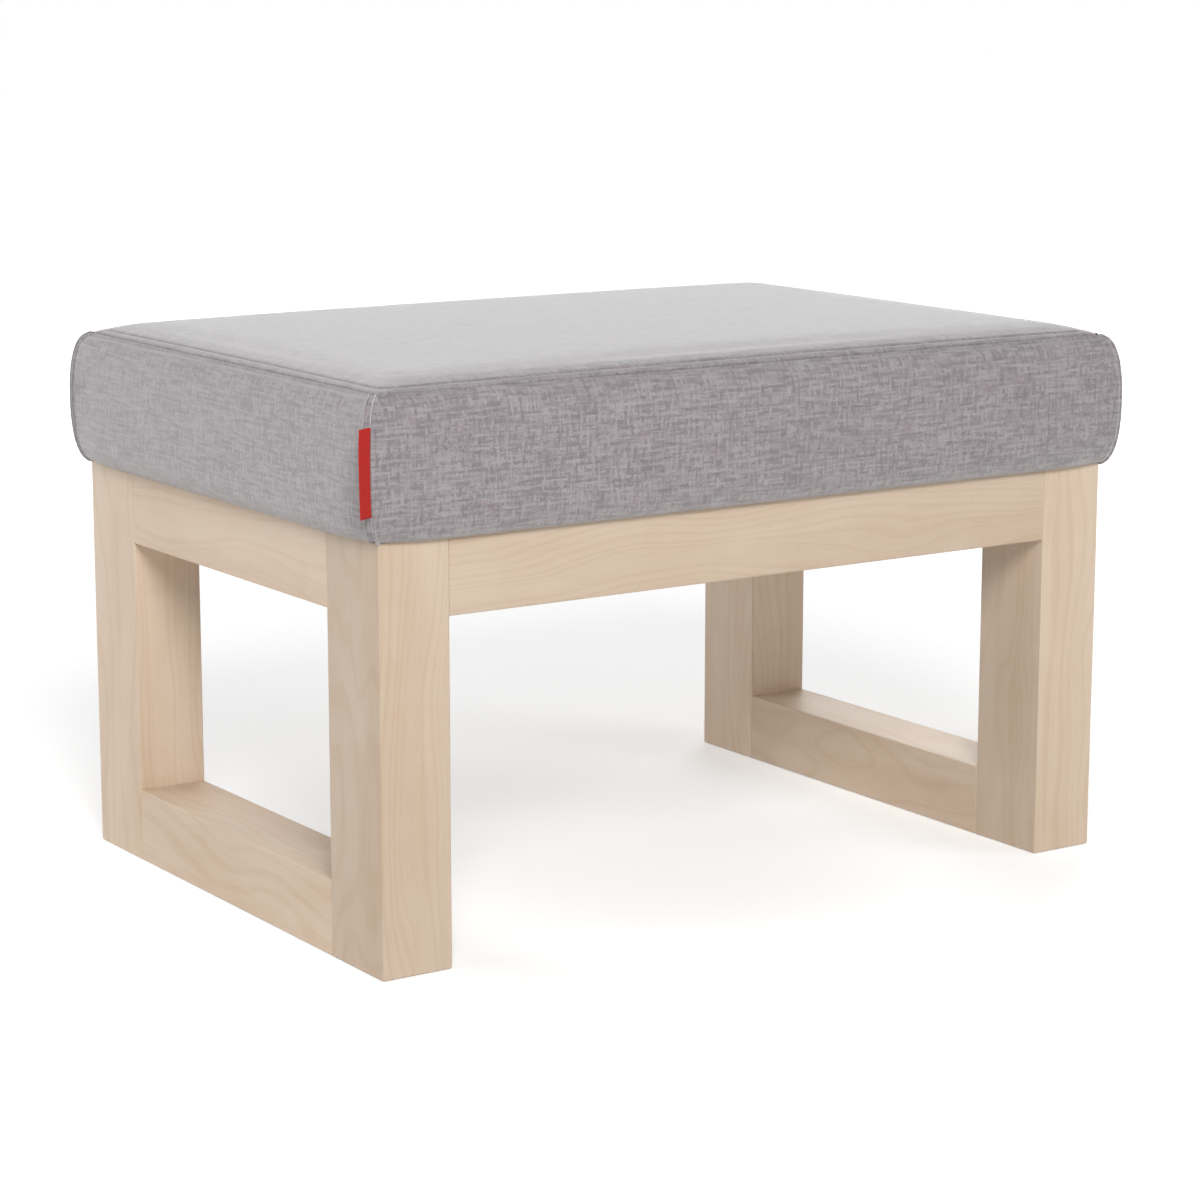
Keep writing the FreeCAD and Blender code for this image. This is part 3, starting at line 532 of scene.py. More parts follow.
def spaced(fine, limit, start, growth, coarse):
    """Distances in millimetres from a seam: fine ones, then steps that grow to coarse ones."""
    steps = [d for d in fine if d < limit]
    step = start
    while steps[-1] + step < limit - step / 2:
        steps.append(steps[-1] + step)
        step = min(step * growth, coarse)
    steps.append(limit)
    return np.array(steps)


# Cushion form: one outline for the sides and one for the top


def side_outline(c):
    """(overhang, height) of the cushion's side, from the top seam down and under to the hem."""
    turn = np.radians(np.linspace(90, -90, 241))
    middle, half = (SEAM_HEIGHT + HEM_HEIGHT) / 2, (SEAM_HEIGHT - HEM_HEIGHT) / 2
    power = 2 / c.side_fullness
    out = c.side_bulge * np.clip(np.cos(turn), 0, 1) ** power
    height = middle + half * np.sign(turn) * np.abs(np.sin(turn)) ** power
    under = [(-c.hem_width * part, HEM_HEIGHT) for part in (0.25, 0.5, 0.75, 1.0)]
    return np.vstack([np.column_stack([out, height]), under])


def top_height(c, x, y, inset):
    """Height of the top panel: a slight dome whose edge rolls down to the seam."""
    dome = CROWN_HEIGHT - (x ** 2 + y ** 2) / (2 * c.crown_radius)
    left = np.clip(1 - inset / c.roll_width, 0, 1)
    fall = 1 - np.clip(1 - left ** c.roll_fullness, 0, 1) ** (1 / c.roll_fullness)
    return dome - (dome - SEAM_HEIGHT) * fall


def bell(distance, centre, width):
    return np.exp(-((distance - centre) / width) ** 2)


def tucked_edge(distance):
    """Offset of a sewn edge along its normals: the top turns in, a side panel stands off."""
    return -2.1 * MM * bell(distance, 0, 1.0 * MM)


def topstitched_edge(distance, c):
    """A sewn edge over its folded seam allowance, held down by a row of stitches."""
    at = c.topstitch_inset
    ridge = 0.45 * MM / (1 + np.exp(-(distance - 1.1 * MM) / (0.28 * MM)))
    ridge = ridge / (1 + np.exp((distance - at) / (0.5 * MM)))
    groove = -0.75 * MM * bell(distance, at + 0.1 * MM, 0.75 * MM)
    shoulder = 0.12 * MM * bell(distance, at + 3 * MM, 1.8 * MM)
    return tucked_edge(distance) + ridge + groove + shoulder


def rounded_rectangle(half_x, half_y, radius, x_axis, y_axis):
    """Points of a grid stretched to a rounded rectangle.

    Each axis is (share of the straight part from -1 to 1, share of the corner from -1 to 1).
    """
    (along_x, bend_x), (along_y, bend_y) = x_axis, y_axis
    x = along_x * (half_x - radius) + radius * bend_x * np.sqrt(1 - bend_y ** 2 / 2)
    y = along_y * (half_y - radius) + radius * bend_y * np.sqrt(1 - bend_x ** 2 / 2)
    return x, y


def grid_axis(straight, corner):
    """One axis of that grid: cells of the straight part, and of each corner."""
    bend = np.linspace(0, 1, corner + 1)[1:]
    along = np.concatenate([-np.ones(corner), np.linspace(-1, 1, straight + 1), np.ones(corner)])
    corners = np.concatenate([-bend[::-1], np.zeros(straight + 1), bend])
    return along, corners


def border(columns, rows):
    """Index pairs (column, row) round the edge of a grid, front left corner first."""
    front = [(i, 0) for i in range(columns - 1)]
    right = [(columns - 1, j) for j in range(rows - 1)]
    back = [(i, rows - 1) for i in range(columns - 1, 0, -1)]
    left = [(0, j) for j in range(rows - 1, 0, -1)]
    return np.array(front + right + back + left)


class TopForm:
    """The top panel as rings in from its seam, and a grid within the last ring."""

    def __init__(self, c, insets, cell, corner):
        self.c = c
        self.insets = np.asarray(insets) * MM
        last = self.insets[-1]
        flat_x = HALF_WIDTH - last - self.radius(last)
        flat_y = HALF_DEPTH - last - self.radius(last)
        self.x_axis = grid_axis(max(2, round(2 * flat_x / (cell * MM))), corner)
        self.y_axis = grid_axis(max(2, round(2 * flat_y / (cell * MM))), corner)
        self.columns, self.rows = len(self.x_axis[0]), len(self.y_axis[0])
        self.edge = border(self.columns, self.rows)

    def radius(self, inset):
        return self.c.corner_radius + self.c.corner_spread * inset

    def ring(self, half_x, half_y, radius):
        columns, rows = self.edge[:, 0], self.edge[:, 1]
        return rounded_rectangle(half_x, half_y, radius,
                                 (self.x_axis[0][columns], self.x_axis[1][columns]),
                                 (self.y_axis[0][rows], self.y_axis[1][rows]))

    def points(self):
        """All points, with each one's inset: the rings outside in, then the grid's inside."""
        found, depths = [], []
        for inset in self.insets:
            x, y = self.ring(HALF_WIDTH - inset, HALF_DEPTH - inset, self.radius(inset))
            found.append(np.column_stack([x, y, top_height(self.c, x, y, inset)]))
            depths.append(np.full(len(x), inset))
        last = self.insets[-1]
        inner_x = [axis[1:-1, None] for axis in self.x_axis]
        inner_y = [axis[None, 1:-1] for axis in self.y_axis]
        x, y = rounded_rectangle(HALF_WIDTH - last, HALF_DEPTH - last, self.radius(last),
                                 inner_x, inner_y)
        x, y = (part.ravel() for part in np.broadcast_arrays(x, y))
        deep = np.full(len(x), last + 5 * MM)
        found.append(np.column_stack([x, y, top_height(self.c, x, y, deep)]))
        depths.append(deep)
        return np.vstack(found), np.concatenate(depths)

    def faces(self):
        around = len(self.edge)
        rings = len(self.insets)
        faces = grid_faces(rings, around, closed=True)
        number = -np.ones((self.columns, self.rows), int)
        number[self.edge[:, 0], self.edge[:, 1]] = (rings - 1) * around + np.arange(around)
        inner = (self.columns - 2) * (self.rows - 2)
        number[1:-1, 1:-1] = rings * around + np.arange(inner).reshape(self.columns - 2, -1)
        for i in range(self.columns - 1):
            for j in range(self.rows - 1):
                faces.append((number[i, j], number[i + 1, j], number[i + 1, j + 1],
                              number[i, j + 1]))
        return [tuple(int(n) for n in face) for face in faces]


def wall_levels(c, distances):
    """(overhang, height) at distances down the side from the top seam."""
    outline = side_outline(c)
    far = travelled(outline)
    return np.column_stack([np.interp(distances, far, outline[:, k]) for k in (0, 1)])


def side_length(c):
    return travelled(side_outline(c))[-1]


def whole_form(c, top, down):
    """The cushion's plain form: the top, then rings down its side at the distances in down.

    Returns its points, its faces, the last ring's numbers and each top point's inset.
    """
    points, inset = top.points()
    around = len(top.edge)
    rings, faces, upper = [points], top.faces(), np.arange(around)
    for number, (overhang, height) in enumerate(wall_levels(c, down)):
        x, y = top.ring(HALF_WIDTH + overhang, HALF_DEPTH + overhang, c.corner_radius)
        rings.append(np.column_stack([x, y, np.full(around, height)]))
        lower = len(points) + number * around + np.arange(around)
        for j in range(around):
            k = (j + 1) % around
            faces.append(tuple(int(n) for n in (upper[k], upper[j], lower[j], lower[k])))
        upper = lower
    return np.vstack(rings), faces, upper, inset


def panel_grid(c, side, down, from_corner):
    """A side panel's points, rows down from the top seam and columns between its two corners.

    from_corner holds the distances from a corner seam of the columns near it. The straight
    part between them is filled evenly. Returns the points, and how far each lies from the top
    seam and from the nearest corner seam.
    """
    along, outward, half_along, half_out = (np.array(v, float) for v in SIDES[side])
    radius = c.corner_radius
    bend = radius * math.pi / 4
    levels = wall_levels(c, down)
    column_width = 5 * MM
    even = np.linspace(-1, 1, max(3, round(2 * half_along / column_width)))[1:-1]
    points = np.zeros((len(down), 2 * len(from_corner) + len(even), 3))
    from_seam = np.zeros(points.shape[:2])
    for row, (overhang, height) in enumerate(levels):
        straight = half_along + overhang - radius
        turn = np.minimum(from_corner, bend) / radius
        past = np.maximum(from_corner - bend, 0)
        angle = math.pi / 4 - turn
        end_along = straight - past + radius * np.sin(angle)
        end_out = half_out + overhang - radius + radius * np.cos(angle)
        reach = straight - past[-1]
        a = np.concatenate([-end_along, even * reach, end_along[::-1]])
        o = np.concatenate([end_out, np.full(len(even), half_out + overhang), end_out[::-1]])
        points[row, :, :2] = a[:, None] * along + o[:, None] * outward
        points[row, :, 2] = height
        middle = from_corner[-1] + (1 - np.abs(even)) * reach
        from_seam[row] = np.concatenate([from_corner, middle, from_corner[::-1]])
    return points, np.broadcast_to(np.asarray(down)[:, None], from_seam.shape), from_seam


# Fullness: the cover is swollen once as cloth, and every panel takes its shape from that


def spread_out(values, edges, rounds):
    """Evens values out over a mesh, along its edges."""
    count = np.maximum(np.bincount(edges.ravel(), minlength=len(values)), 1)
    for _ in range(rounds):
        total = np.bincount(edges[:, 0], values[edges[:, 1]], len(values))
        total += np.bincount(edges[:, 1], values[edges[:, 0]], len(values))
        values = 0.5 * values + 0.5 * total / count
    return values


def edges_of(mesh):
    edges = np.zeros(len(mesh.edges) * 2, np.int32)
    mesh.edges.foreach_get("vertices", edges)
    return edges.reshape(-1, 2)


def coordinates(mesh):
    flat = np.zeros(len(mesh.vertices) * 3)
    mesh.vertices.foreach_get("co", flat)
    return flat.reshape(-1, 3)


def vertex_normals(mesh):
    flat = np.zeros(len(mesh.vertices) * 3, np.float32)
    mesh.vertex_normals.foreach_get("vector", flat)
    return flat.reshape(-1, 3).astype(float)


class Fullness:
    """How far the swollen cover stands off the plain form, at any point of it."""

    def __init__(self, c):
        top = TopForm(c, (0, 3, 7, 12, 18, 25), cell=7, corner=4)
        down = np.arange(7, side_length(c) / MM - 4, 7) * MM
        self.form, self.faces, _, inset = whole_form(c, top, down)
        mesh = bpy.data.meshes.new("cover_blank")
        mesh.from_pydata([tuple(p) for p in self.form], [], self.faces)
        mesh.update()
        self.normals = vertex_normals(mesh)
        self.tree = BVHTree.FromPolygons([tuple(p) for p in self.form], self.faces)

        below = np.repeat(down, len(top.edge))
        on_top = np.zeros(len(inset), bool)
        self.hem = np.concatenate([on_top, below > side_length(c) - c.hem_width - 3 * MM])
        to_corner = np.hypot(np.abs(self.form[len(inset):, 0]) - HALF_WIDTH,
                             np.abs(self.form[len(inset):, 1]) - HALF_DEPTH)
        to_seam = np.concatenate([inset, np.minimum(below, to_corner)])
        ease = np.clip(to_seam / (30 * MM), 0, 1)
        self.room = c.slack * ease * ease * (3 - 2 * ease) * ~self.hem
        blank = self.form - self.normals * self.room[:, None]
        swollen = self.swell(c, mesh, blank, held=(to_seam < 1 * MM) | self.hem)
        self.swelling = ((swollen - blank) * self.normals).sum(1)
        # The swelling is cut off at the plain form, with a little more where it pushes hardest.
        crown = 0.5 * MM * np.clip(self.swelling / (14 * MM), 0, 1)
        stand_off = np.clip(self.swelling, -0.5 * MM, self.room) - self.room + crown
        self.stand_off = spread_out(stand_off, edges_of(mesh), 2)

    SWELL_FRAMES = 20

    def swell(self, c, mesh, blank, held):
        """Runs the blank as cloth under air pressure, and returns where its points end."""
        mesh.vertices.foreach_set("co", blank.ravel())
        mesh.update()
        scene = bpy.context.scene
        cover = bpy.data.objects.new("cover_blank", mesh)
        scene.collection.objects.link(cover)
        group = cover.vertex_groups.new(name="held")
        group.add([int(i) for i in np.flatnonzero(held)], 1.0, "REPLACE")
        cloth = cover.modifiers.new("swell", "CLOTH")
        cloth.settings.vertex_group_mass = "held"
        cloth.settings.use_pressure = True
        cloth.settings.uniform_pressure_force = c.pressure
        cloth.settings.effector_weights.gravity = 0
        cloth.settings.quality = 6
        cloth.settings.tension_stiffness = 12
        cloth.settings.compression_stiffness = 12
        cloth.settings.bending_stiffness = 0.4
        cloth.point_cache.frame_start = 1
        cloth.point_cache.frame_end = self.SWELL_FRAMES
        for number in range(1, self.SWELL_FRAMES + 1):
            scene.frame_set(number)
        shown = cover.evaluated_get(bpy.context.evaluated_depsgraph_get())
        end = coordinates(shown.data)
        bpy.data.objects.remove(cover)
        scene.frame_set(1)
        return end

    def at(self, points):
        """The stand-off at points on the plain form."""
        found = np.zeros(len(points))
        for number, point in enumerate(points):
            place, _, face, _ = self.tree.find_nearest(Vector(point))
            corners = self.form[list(self.faces[face])]
            gap = np.linalg.norm(corners - np.array(place), axis=1)
            found[number] = np.average(self.stand_off[list(self.faces[face])],
                                       weights=1 / np.maximum(gap, 0.01 * MM) ** 2)
        return found


class NoFullness:
    """Stands in for Fullness, with no stand-off anywhere."""

    def at(self, points):
        return np.zeros(len(points))


# Cushion pieces

# Distances from a seam, in millimetres, of the finest rows of a panel: with topstitching, and
# without.
SEAM_STEPS = (0, 0.35, 0.7, 1.05, 1.45, 1.9, 2.5, 3.2, 4.0, 4.7, 5.2, 5.6, 6.0, 6.4, 6.9, 7.6)
PLAIN_STEPS = (0, 0.35, 0.7, 1.05, 1.45, 1.9, 2.6, 3.6, 5.0, 6.6)


def sewn_top(c, fullness, cloth):
    insets = spaced(SEAM_STEPS, 26, start=1.2, growth=1.3, coarse=3.5)
    form = TopForm(c, insets, cell=5, corner=7)
    points, inset = form.points()
    faces = form.faces()
    piece = new_piece("cushion_top", points, faces, cloth, uv=points[:, :2] + 0.31)
    mesh = piece.data
    normals = vertex_normals(mesh)
    stand_off = spread_out(fullness.at(points), edges_of(mesh), 6)
    stand_off *= np.clip(inset / (4 * MM), 0, 1)
    points = points + normals * (stand_off + topstitched_edge(inset, c))[:, None]
    mesh.vertices.foreach_set("co", points.ravel())
    mesh.update()
    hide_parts("cover_top_panel")
    around = len(form.edge)
    row = int(np.argmin(np.abs(form.insets - c.topstitch_inset)))
    line = slice(row * around, (row + 1) * around)
    return piece, (points[line], normals[line])


# Moves each side panel to another piece of the cloth's pattern.
PATTERN_SHIFT = {"front": (0.0, 0.0), "right": (2.7, 1.3), "back": (5.1, 3.7), "left": (8.3, 6.1)}


def sewn_side(c, fullness, cloth, side):
    """One side panel. The short ones are topstitched along their corner seams.

    Its normals and faces point into the cushion, so its offsets work the other way round from
    those of the top: a negative one stands off the outline.
    """
    short = side in ("left", "right")
    total = side_length(c) / MM
    down = spaced(PLAIN_STEPS, total, start=1.8, growth=1.25, coarse=3.2) * MM
    near = SEAM_STEPS if short else PLAIN_STEPS
    from_corner = spaced(near, 24, start=1.2, growth=1.3, coarse=4) * MM
    points, from_top, from_seam = panel_grid(c, side, down, from_corner)
    normals = grid_normals(points)
    rows, columns = points.shape[:2]
    across = np.sign(np.arange(columns) - (columns - 1) / 2)
    reach = from_seam.max(axis=1, keepdims=True)
    uv = np.dstack([across * (reach - from_seam), -from_top]).reshape(-1, 2)
    piece = new_piece("cushion_" + side, points.reshape(-1, 3), grid_faces(rows, columns), cloth,
                      uv=uv + PATTERN_SHIFT[side])
    mesh = piece.data
    stand_off = spread_out(fullness.at(points.reshape(-1, 3)), edges_of(mesh), 6)
    stand_off = stand_off.reshape(rows, columns)
    nearest = np.minimum(from_top, from_seam)
    stand_off *= np.clip(nearest / (4 * MM), 0, 1)
    offset = stand_off + tucked_edge(from_top)
    offset += topstitched_edge(from_seam, c) if short else tucked_edge(from_seam)
    points = points + normals * np.maximum(offset, -2.6 * MM)[:, :, None]
    mesh.vertices.foreach_set("co", points.reshape(-1))
    mesh.update()
    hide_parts("cover_%s_panel" % side)
    lines = []
    if short:
        column = int(np.argmin(np.abs(from_corner - c.topstitch_inset)))
        shown = from_top[:, 0] < side_length(c) - c.hem_width
        for index in (column, columns - 1 - column):
            lines.append((points[shown, index], normals[shown, index]))
    return piece, lines


STITCH_PITCH, STITCH_LENGTH, THREAD_RADIUS = 3.4 * MM, 2.7 * MM, 0.25 * MM


def stitches(name, lines, thread, closed=False):
    """Short rounded stitches along lines of (points, normals)."""
    points, faces = [], []
    sides = 6
    # Place along a stitch and share of the thread's radius there.
    profile = [(-0.5, 0.15), (-0.42, 0.75), (-0.2, 1.0), (0.2, 1.0), (0.42, 0.75), (0.5, 0.15)]
    for line, normals in lines:
        if closed:
            line = np.vstack([line, line[:1]])
            normals = np.vstack([normals, normals[:1]])
        far = travelled(line)
        count = int(far[-1] / STITCH_PITCH)
        step = far[-1] / count

        def on_line(distance, values):
            return np.array([np.interp(distance, far, values[:, k]) for k in range(3)])

        for number in range(count):
            middle = (number + 0.5) * step
            ahead = on_line(min(middle + 0.5 * MM, far[-1]), line)
            behind = on_line(max(middle - 0.5 * MM, 0), line)
            run = (ahead - behind) / np.linalg.norm(ahead - behind)
            up = on_line(middle, normals)
            up -= run * np.dot(run, up)
            up /= np.linalg.norm(up)
            wide = np.cross(run, up)
            centre = on_line(middle, line) + up * 0.12 * MM
            first = len(points)
            for place, girth in profile:
                # The ends of a stitch dive into the cloth.
                sink = -0.35 * MM * (2 * abs(place)) ** 4
                at = centre + run * place * STITCH_LENGTH + up * sink
                for turn in range(sides):
                    angle = 2 * math.pi * turn / sides
                    points.append(at + girth * THREAD_RADIUS * (
                        wide * math.cos(angle) + up * math.sin(angle)))
            for ring in range(len(profile) - 1):
                for turn in range(sides):
                    a, b = first + ring * sides + turn, first + ring * sides + (turn + 1) % sides
                    faces.append((a, b, b + sides, a + sides))
            faces.append(tuple(range(first, first + sides))[::-1])
            faces.append(tuple(range(first + (len(profile) - 1) * sides,
                                     first + len(profile) * sides)))
    return new_piece(name, points, faces, thread)


def inner_form(c, depth):
    """The cushion's form moved inwards by depth, closed underneath, as points and faces."""
    down = np.arange(9, (side_length(c) - c.hem_width) / MM, 9) * MM
    top = TopForm(c, (0, 4, 9, 15, 24), cell=12, corner=3)
    form, faces, last, _ = whole_form(c, top, down)
    faces.append(tuple(int(n) for n in last[::-1]))
    mesh = bpy.data.meshes.new("inner_form")
    mesh.from_pydata([tuple(p) for p in form], [], faces)
    mesh.update()
    form = form - vertex_normals(mesh) * depth
    bpy.data.meshes.remove(mesh)
    return form, faces


# Operators


class OTTOMAN_OT_timber(bpy.types.Operator):
    """Give every leg, rail, apron and corner block its own cut of maple"""
    bl_idname = "ottoman.timber"
    bl_label = "Maple Frame"

    def execute(self, context):
        settings = context.scene.ottoman_timber
        figure = maple_figure()
        boards = [(n, "Z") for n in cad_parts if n.startswith("leg_")]
        boards += [(n, "Y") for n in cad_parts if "_rail_" in n]
        boards += [(n, "X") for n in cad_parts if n.startswith(("apron_", "corner_block_"))]
        boards = [(n, grain) for n, grain in boards if n != "corner_block_screws"]
        # Each board comes from further along the log, and from another place in its rings.
        for number, (name, grain) in enumerate(sorted(boards)):
            heart = (0.9 * number, 0.055 + 0.013 * (number % 4), 0.04 + 0.017 * (number % 5))
            finish(name, maple("maple_" + name, figure, settings, grain, heart,
                               BOARD_TONE_AND_PAINTED_LIGHT.get(name, 1.0)))
        return {"FINISHED"}


def finish(node, material):
    """Puts a material on a CAD node, which keeps its shape."""
    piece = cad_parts[node]
    if not piece.material_slots:
        piece.data.materials.append(None)
    for slot in piece.material_slots:
        slot.link = "OBJECT"
        slot.material = material


class OTTOMAN_OT_hardware(bpy.types.Operator):
    """Finish the screws, bolts, inserts, floor glides and plywood board"""
    bl_idname = "ottoman.hardware"
    bl_label = "Hardware and Board"

    def execute(self, context):
        steel = zinc_steel("zinc_steel")
        finish("corner_block_screws", steel)
        finish("seat_bolts", steel)
        finish("seat_inserts", plain_brass("insert_brass"))
        finish("floor_glides", nylon("glide_nylon"))
        finish("seat_board", birch_plywood("birch_plywood"))
        return {"FINISHED"}


class OTTOMAN_OT_filling(bpy.types.Operator):
    """Make the foam block and the fibre wrap inside the cover"""
    bl_idname = "ottoman.filling"
    bl_label = "Foam and Fibre"

    def execute(self, context):
        c = context.scene.ottoman_cushion
        form, faces = inner_form(c, 3.2 * MM)
        wrap = new_piece("cushion_fibre_wrap", form, faces, white_fibre("fibre_wrap_wadding"))
        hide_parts("fibre_wrap")
        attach(wrap, "root")

        low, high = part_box("seat_foam")
        # The block is cut a little smaller than the space that the cover leaves for it.
        shrink_x, shrink_y = 0.985, 0.98
        low_x, high_x = low.x * shrink_x, high.x * shrink_x
        low_y, high_y = low.y * shrink_y, high.y * shrink_y
        ring = [(low_x, low_y), (high_x, low_y), (high_x, high_y), (low_x, high_y)]
        points = [(x, y, z) for z in (low.z + 0.2 * MM, high.z - 0.4 * MM) for x, y in ring]
        faces = [(3, 2, 1, 0), (4, 5, 6, 7)]
        faces += [(i, (i + 1) % 4, 4 + (i + 1) % 4, 4 + i) for i in range(4)]
        block = new_piece("cushion_foam_block", points, faces, foam_cells("seat_foam_cells"))
        soften = block.modifiers.new("soft edges", "BEVEL")
        soften.width = 10 * MM
        soften.segments = 4
        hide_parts("seat_foam")
        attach(block, "root")
        return {"FINISHED"}


class OTTOMAN_OT_cover(bpy.types.Operator):
    """Swell the cover as cloth, then cut and sew its five panels with their topstitching"""
    bl_idname = "ottoman.cover"
    bl_label = "Sewn Cover"

    def execute(self, context):
        c = context.scene.ottoman_cushion
        fullness = Fullness(c)
        swelling = fullness.swelling[fullness.room > 0.9 * c.slack] / MM
        print("cover swelled by %.2f to %.2f mm, %.2f mm at most places" % (
            *np.percentile(swelling, (2, 98)), np.median(swelling)))
        cloth = woven_cloth("heathered_cloth", c)
        thread = spun_thread("grey_thread", c)
        top, line = sewn_top(c, fullness, cloth)
        around_top = stitches("topstitch_top", [line], thread, closed=True)
        corner_lines = []
        for side in SIDES:
            panel, lines = sewn_side(c, fullness, cloth, side)
            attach(panel, "root")
            corner_lines += lines
        at_corners = stitches("topstitch_corners", corner_lines, thread)
        for piece in (top, around_top, at_corners):
            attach(piece, "root")
        return {"FINISHED"}


class OTTOMAN_OT_label(bpy.types.Operator):
    """Fold the ribbon label and set it in the front left corner seam"""
    bl_idname = "ottoman.label"
    bl_label = "Ribbon Label"

    def execute(self, context):
        c = context.scene.ottoman_cushion
        low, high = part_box("side_label")
        raised = 1.5 * MM
        bottom, top = low.z + raised, high.z + raised
        reach, tuck, half_gap = 13.6 * MM, 3 * MM, 0.32 * MM
        # Plan line: out along the ribbon with a slight curl, round the fold and back.
        out = np.linspace(-tuck, reach, 15)
        curl = 0.9 * MM * (np.clip(out, 0, None) / reach) ** 2
        fold = np.radians(np.linspace(90, -90, 7))
        first = np.column_stack([out, curl + half_gap])
        tip = np.column_stack([reach + half_gap * np.cos(fold),
                               curl[-1] + half_gap * np.sin(fold)])[1:-1]
        second = np.column_stack([out, curl - half_gap])[::-1]
        line = np.vstack([first, tip, second])
        # It leans from the seam's own 225 degrees towards the left side.
        bearing = math.radians(203)
        way = np.array([math.cos(bearing), math.sin(bearing)])
        beside = np.array([-way[1], way[0]])
        heights = np.linspace(bottom, top, 34)
        far = travelled(line)
        # The corner's rounding brings its seam in by this much, along and across.
        inward = (1 - math.cos(math.pi / 4)) * c.corner_radius
        points, uv = [], []
        for z in heights:
            overhang = np.interp(z, *wall_heights(c))
            root = np.array([-(HALF_WIDTH + overhang - inward), -(HALF_DEPTH + overhang - inward)])
            wave = 0.25 * MM * math.sin((z - bottom) / (top - bottom) * 4.2 + 0.6)
            for (along, aside), distance in zip(line, far):
                lift = wave * max(along, 0) / reach
                x, y = root + way * along + beside * (aside + lift)
                points.append((x, y, z))
                uv.append((distance, z))
        faces = grid_faces(len(heights), len(line))
        ribbon = new_piece("ribbon_label", points, faces, ribbon_weave("red_ribbon", c), uv=uv)
        thick = ribbon.modifiers.new("ribbon thickness", "SOLIDIFY")
        thick.thickness = 0.35 * MM
        thick.offset = 1
        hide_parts("side_label")
        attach(ribbon, "root")
        return {"FINISHED"}


def wall_heights(c):
    """Heights up the cushion's side, lowest first, and the overhang at each."""
    outline = side_outline(c)
    side = outline[outline[:, 0] >= 0][::-1]
    return side[:, 1], side[:, 0]


STAPLE_PITCH = 41 * MM


class OTTOMAN_OT_underside(bpy.types.Operator):
    """Stretch the dust cloth under the seat and staple it"""
    bl_idname = "ottoman.underside"
    bl_label = "Dust Cloth and Staples"

    def execute(self, context):
        low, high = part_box("dust_cover")
        cloth = black_cambric("black_cambric")
        cut = 68 * MM
        half_x, half_y, columns, rows = high.x, high.y, 98, 72
        xs, ys = np.linspace(-half_x, half_x, columns), np.linspace(-half_y, half_y, rows)
        x, y = np.meshgrid(xs, ys)
        # The corners are cut off: rows near an end are shorter.
        spare = np.clip(np.abs(y) - (half_y - cut), 0, None)
        x = x * (half_x - spare) / half_x
        edge = np.minimum(np.minimum(half_x - np.abs(x), half_y - np.abs(y)),
                          (half_x + half_y - cut - np.abs(x) - np.abs(y)) / math.sqrt(2))
        ease = np.clip(edge / (70 * MM), 0, 1)
        sag = 3.2 * MM * ease * (2 - ease)
        tug = 0.5 * MM * np.exp(-edge / (9 * MM)) * (
            np.sin(x * 2 * math.pi / STAPLE_PITCH) ** 2 +
            np.sin(y * 2 * math.pi / STAPLE_PITCH) ** 2)
        z = low.z + 0.1 * MM - sag - tug
        points = np.column_stack([x.ravel(), y.ravel(), z.ravel()])
        piece = new_piece("dust_cloth", points, [f[::-1] for f in grid_faces(rows, columns)],
                          cloth, uv=points[:, :2])
        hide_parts("dust_cover")
        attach(piece, "root")

        wire = zinc_steel("staple_wire")
        staples = self.staples(half_x, half_y, cut, low.z - 0.35 * MM, wire)
        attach(staples, "root")
        return {"FINISHED"}

    def staples(self, half_x, half_y, cut, height, wire):
        """Flat crowns of staples, 10 mm long, a little way in from the edge of the cloth."""
        inset, crown, wide, thick = 5 * MM, 10 * MM, 1.2 * MM, 0.5 * MM
        corners = [(half_x, half_y - cut), (half_x - cut, half_y), (-half_x + cut, half_y),
                   (-half_x, half_y - cut), (-half_x, -half_y + cut), (-half_x + cut, -half_y),
                   (half_x - cut, -half_y), (half_x, -half_y + cut)]
        points, faces = [], []
        for number, start in enumerate(corners):
            start, end = np.array(start), np.array(corners[(number + 1) % len(corners)])
            run = end - start
            span = np.linalg.norm(run)
            run = run / span
            inward = np.array([-run[1], run[0]])
            count = max(1, round(span / STAPLE_PITCH))
            for k in range(count):
                # No two staples are driven quite alike.
                lean = 0.12 * math.sin(7.3 * k + 2.1 * number)
                way = run * math.cos(lean) + inward * math.sin(lean)
                beside = np.array([-way[1], way[0]])
                middle = start + run * span * (k + 0.5) / count + inward * inset
                first = len(points)
                for along, drop in ((-1, 0.45), (-0.88, 0), (0.88, 0), (1, 0.45)):
                    for aside, lift in ((-1, 0), (1, 0), (1, 1), (-1, 1)):
                        x, y = middle + way * along * crown / 2 + beside * aside * wide / 2
                        points.append((x, y, height + (lift - 1 + 2 * drop) * thick))
                for ring in range(3):
                    for turn in range(4):
                        a = first + ring * 4 + turn
                        b = first + ring * 4 + (turn + 1) % 4
                        faces.append((a, b, b + 4, a + 4))
        piece = new_piece("dust_cloth_staples", points, faces, wire)
        for polygon in piece.data.polygons:
            polygon.use_smooth = False
        return piece


# Each lamp's bearing from +X and height, in degrees, its width in metres and its setting.
LAMPS = {
    "key_lamp": (243, 32, 1.2, "key_light"),
    "side_lamp": (315, 28, 1.8, "side_light"),
    "top_lamp": (45, 88, 1.8, "top_light"),
    "back_left_lamp": (135, 28, 1.8, "back_left_light"),
    "back_right_lamp": (45, 28, 1.8, "back_right_light"),
}
LAMP_AIM, LAMP_DISTANCE = Vector((0, 0, 0.2)), 3.2
CAMERA_AIM = Vector((0.0035, -0.0023, 0.1792))
FLOOR_REACH = 12.0
# Shadows fall within the first distance. From the second one on, the floor shows as white.
SHADOW_REACH, WHITE_FROM = 0.9, 2.4


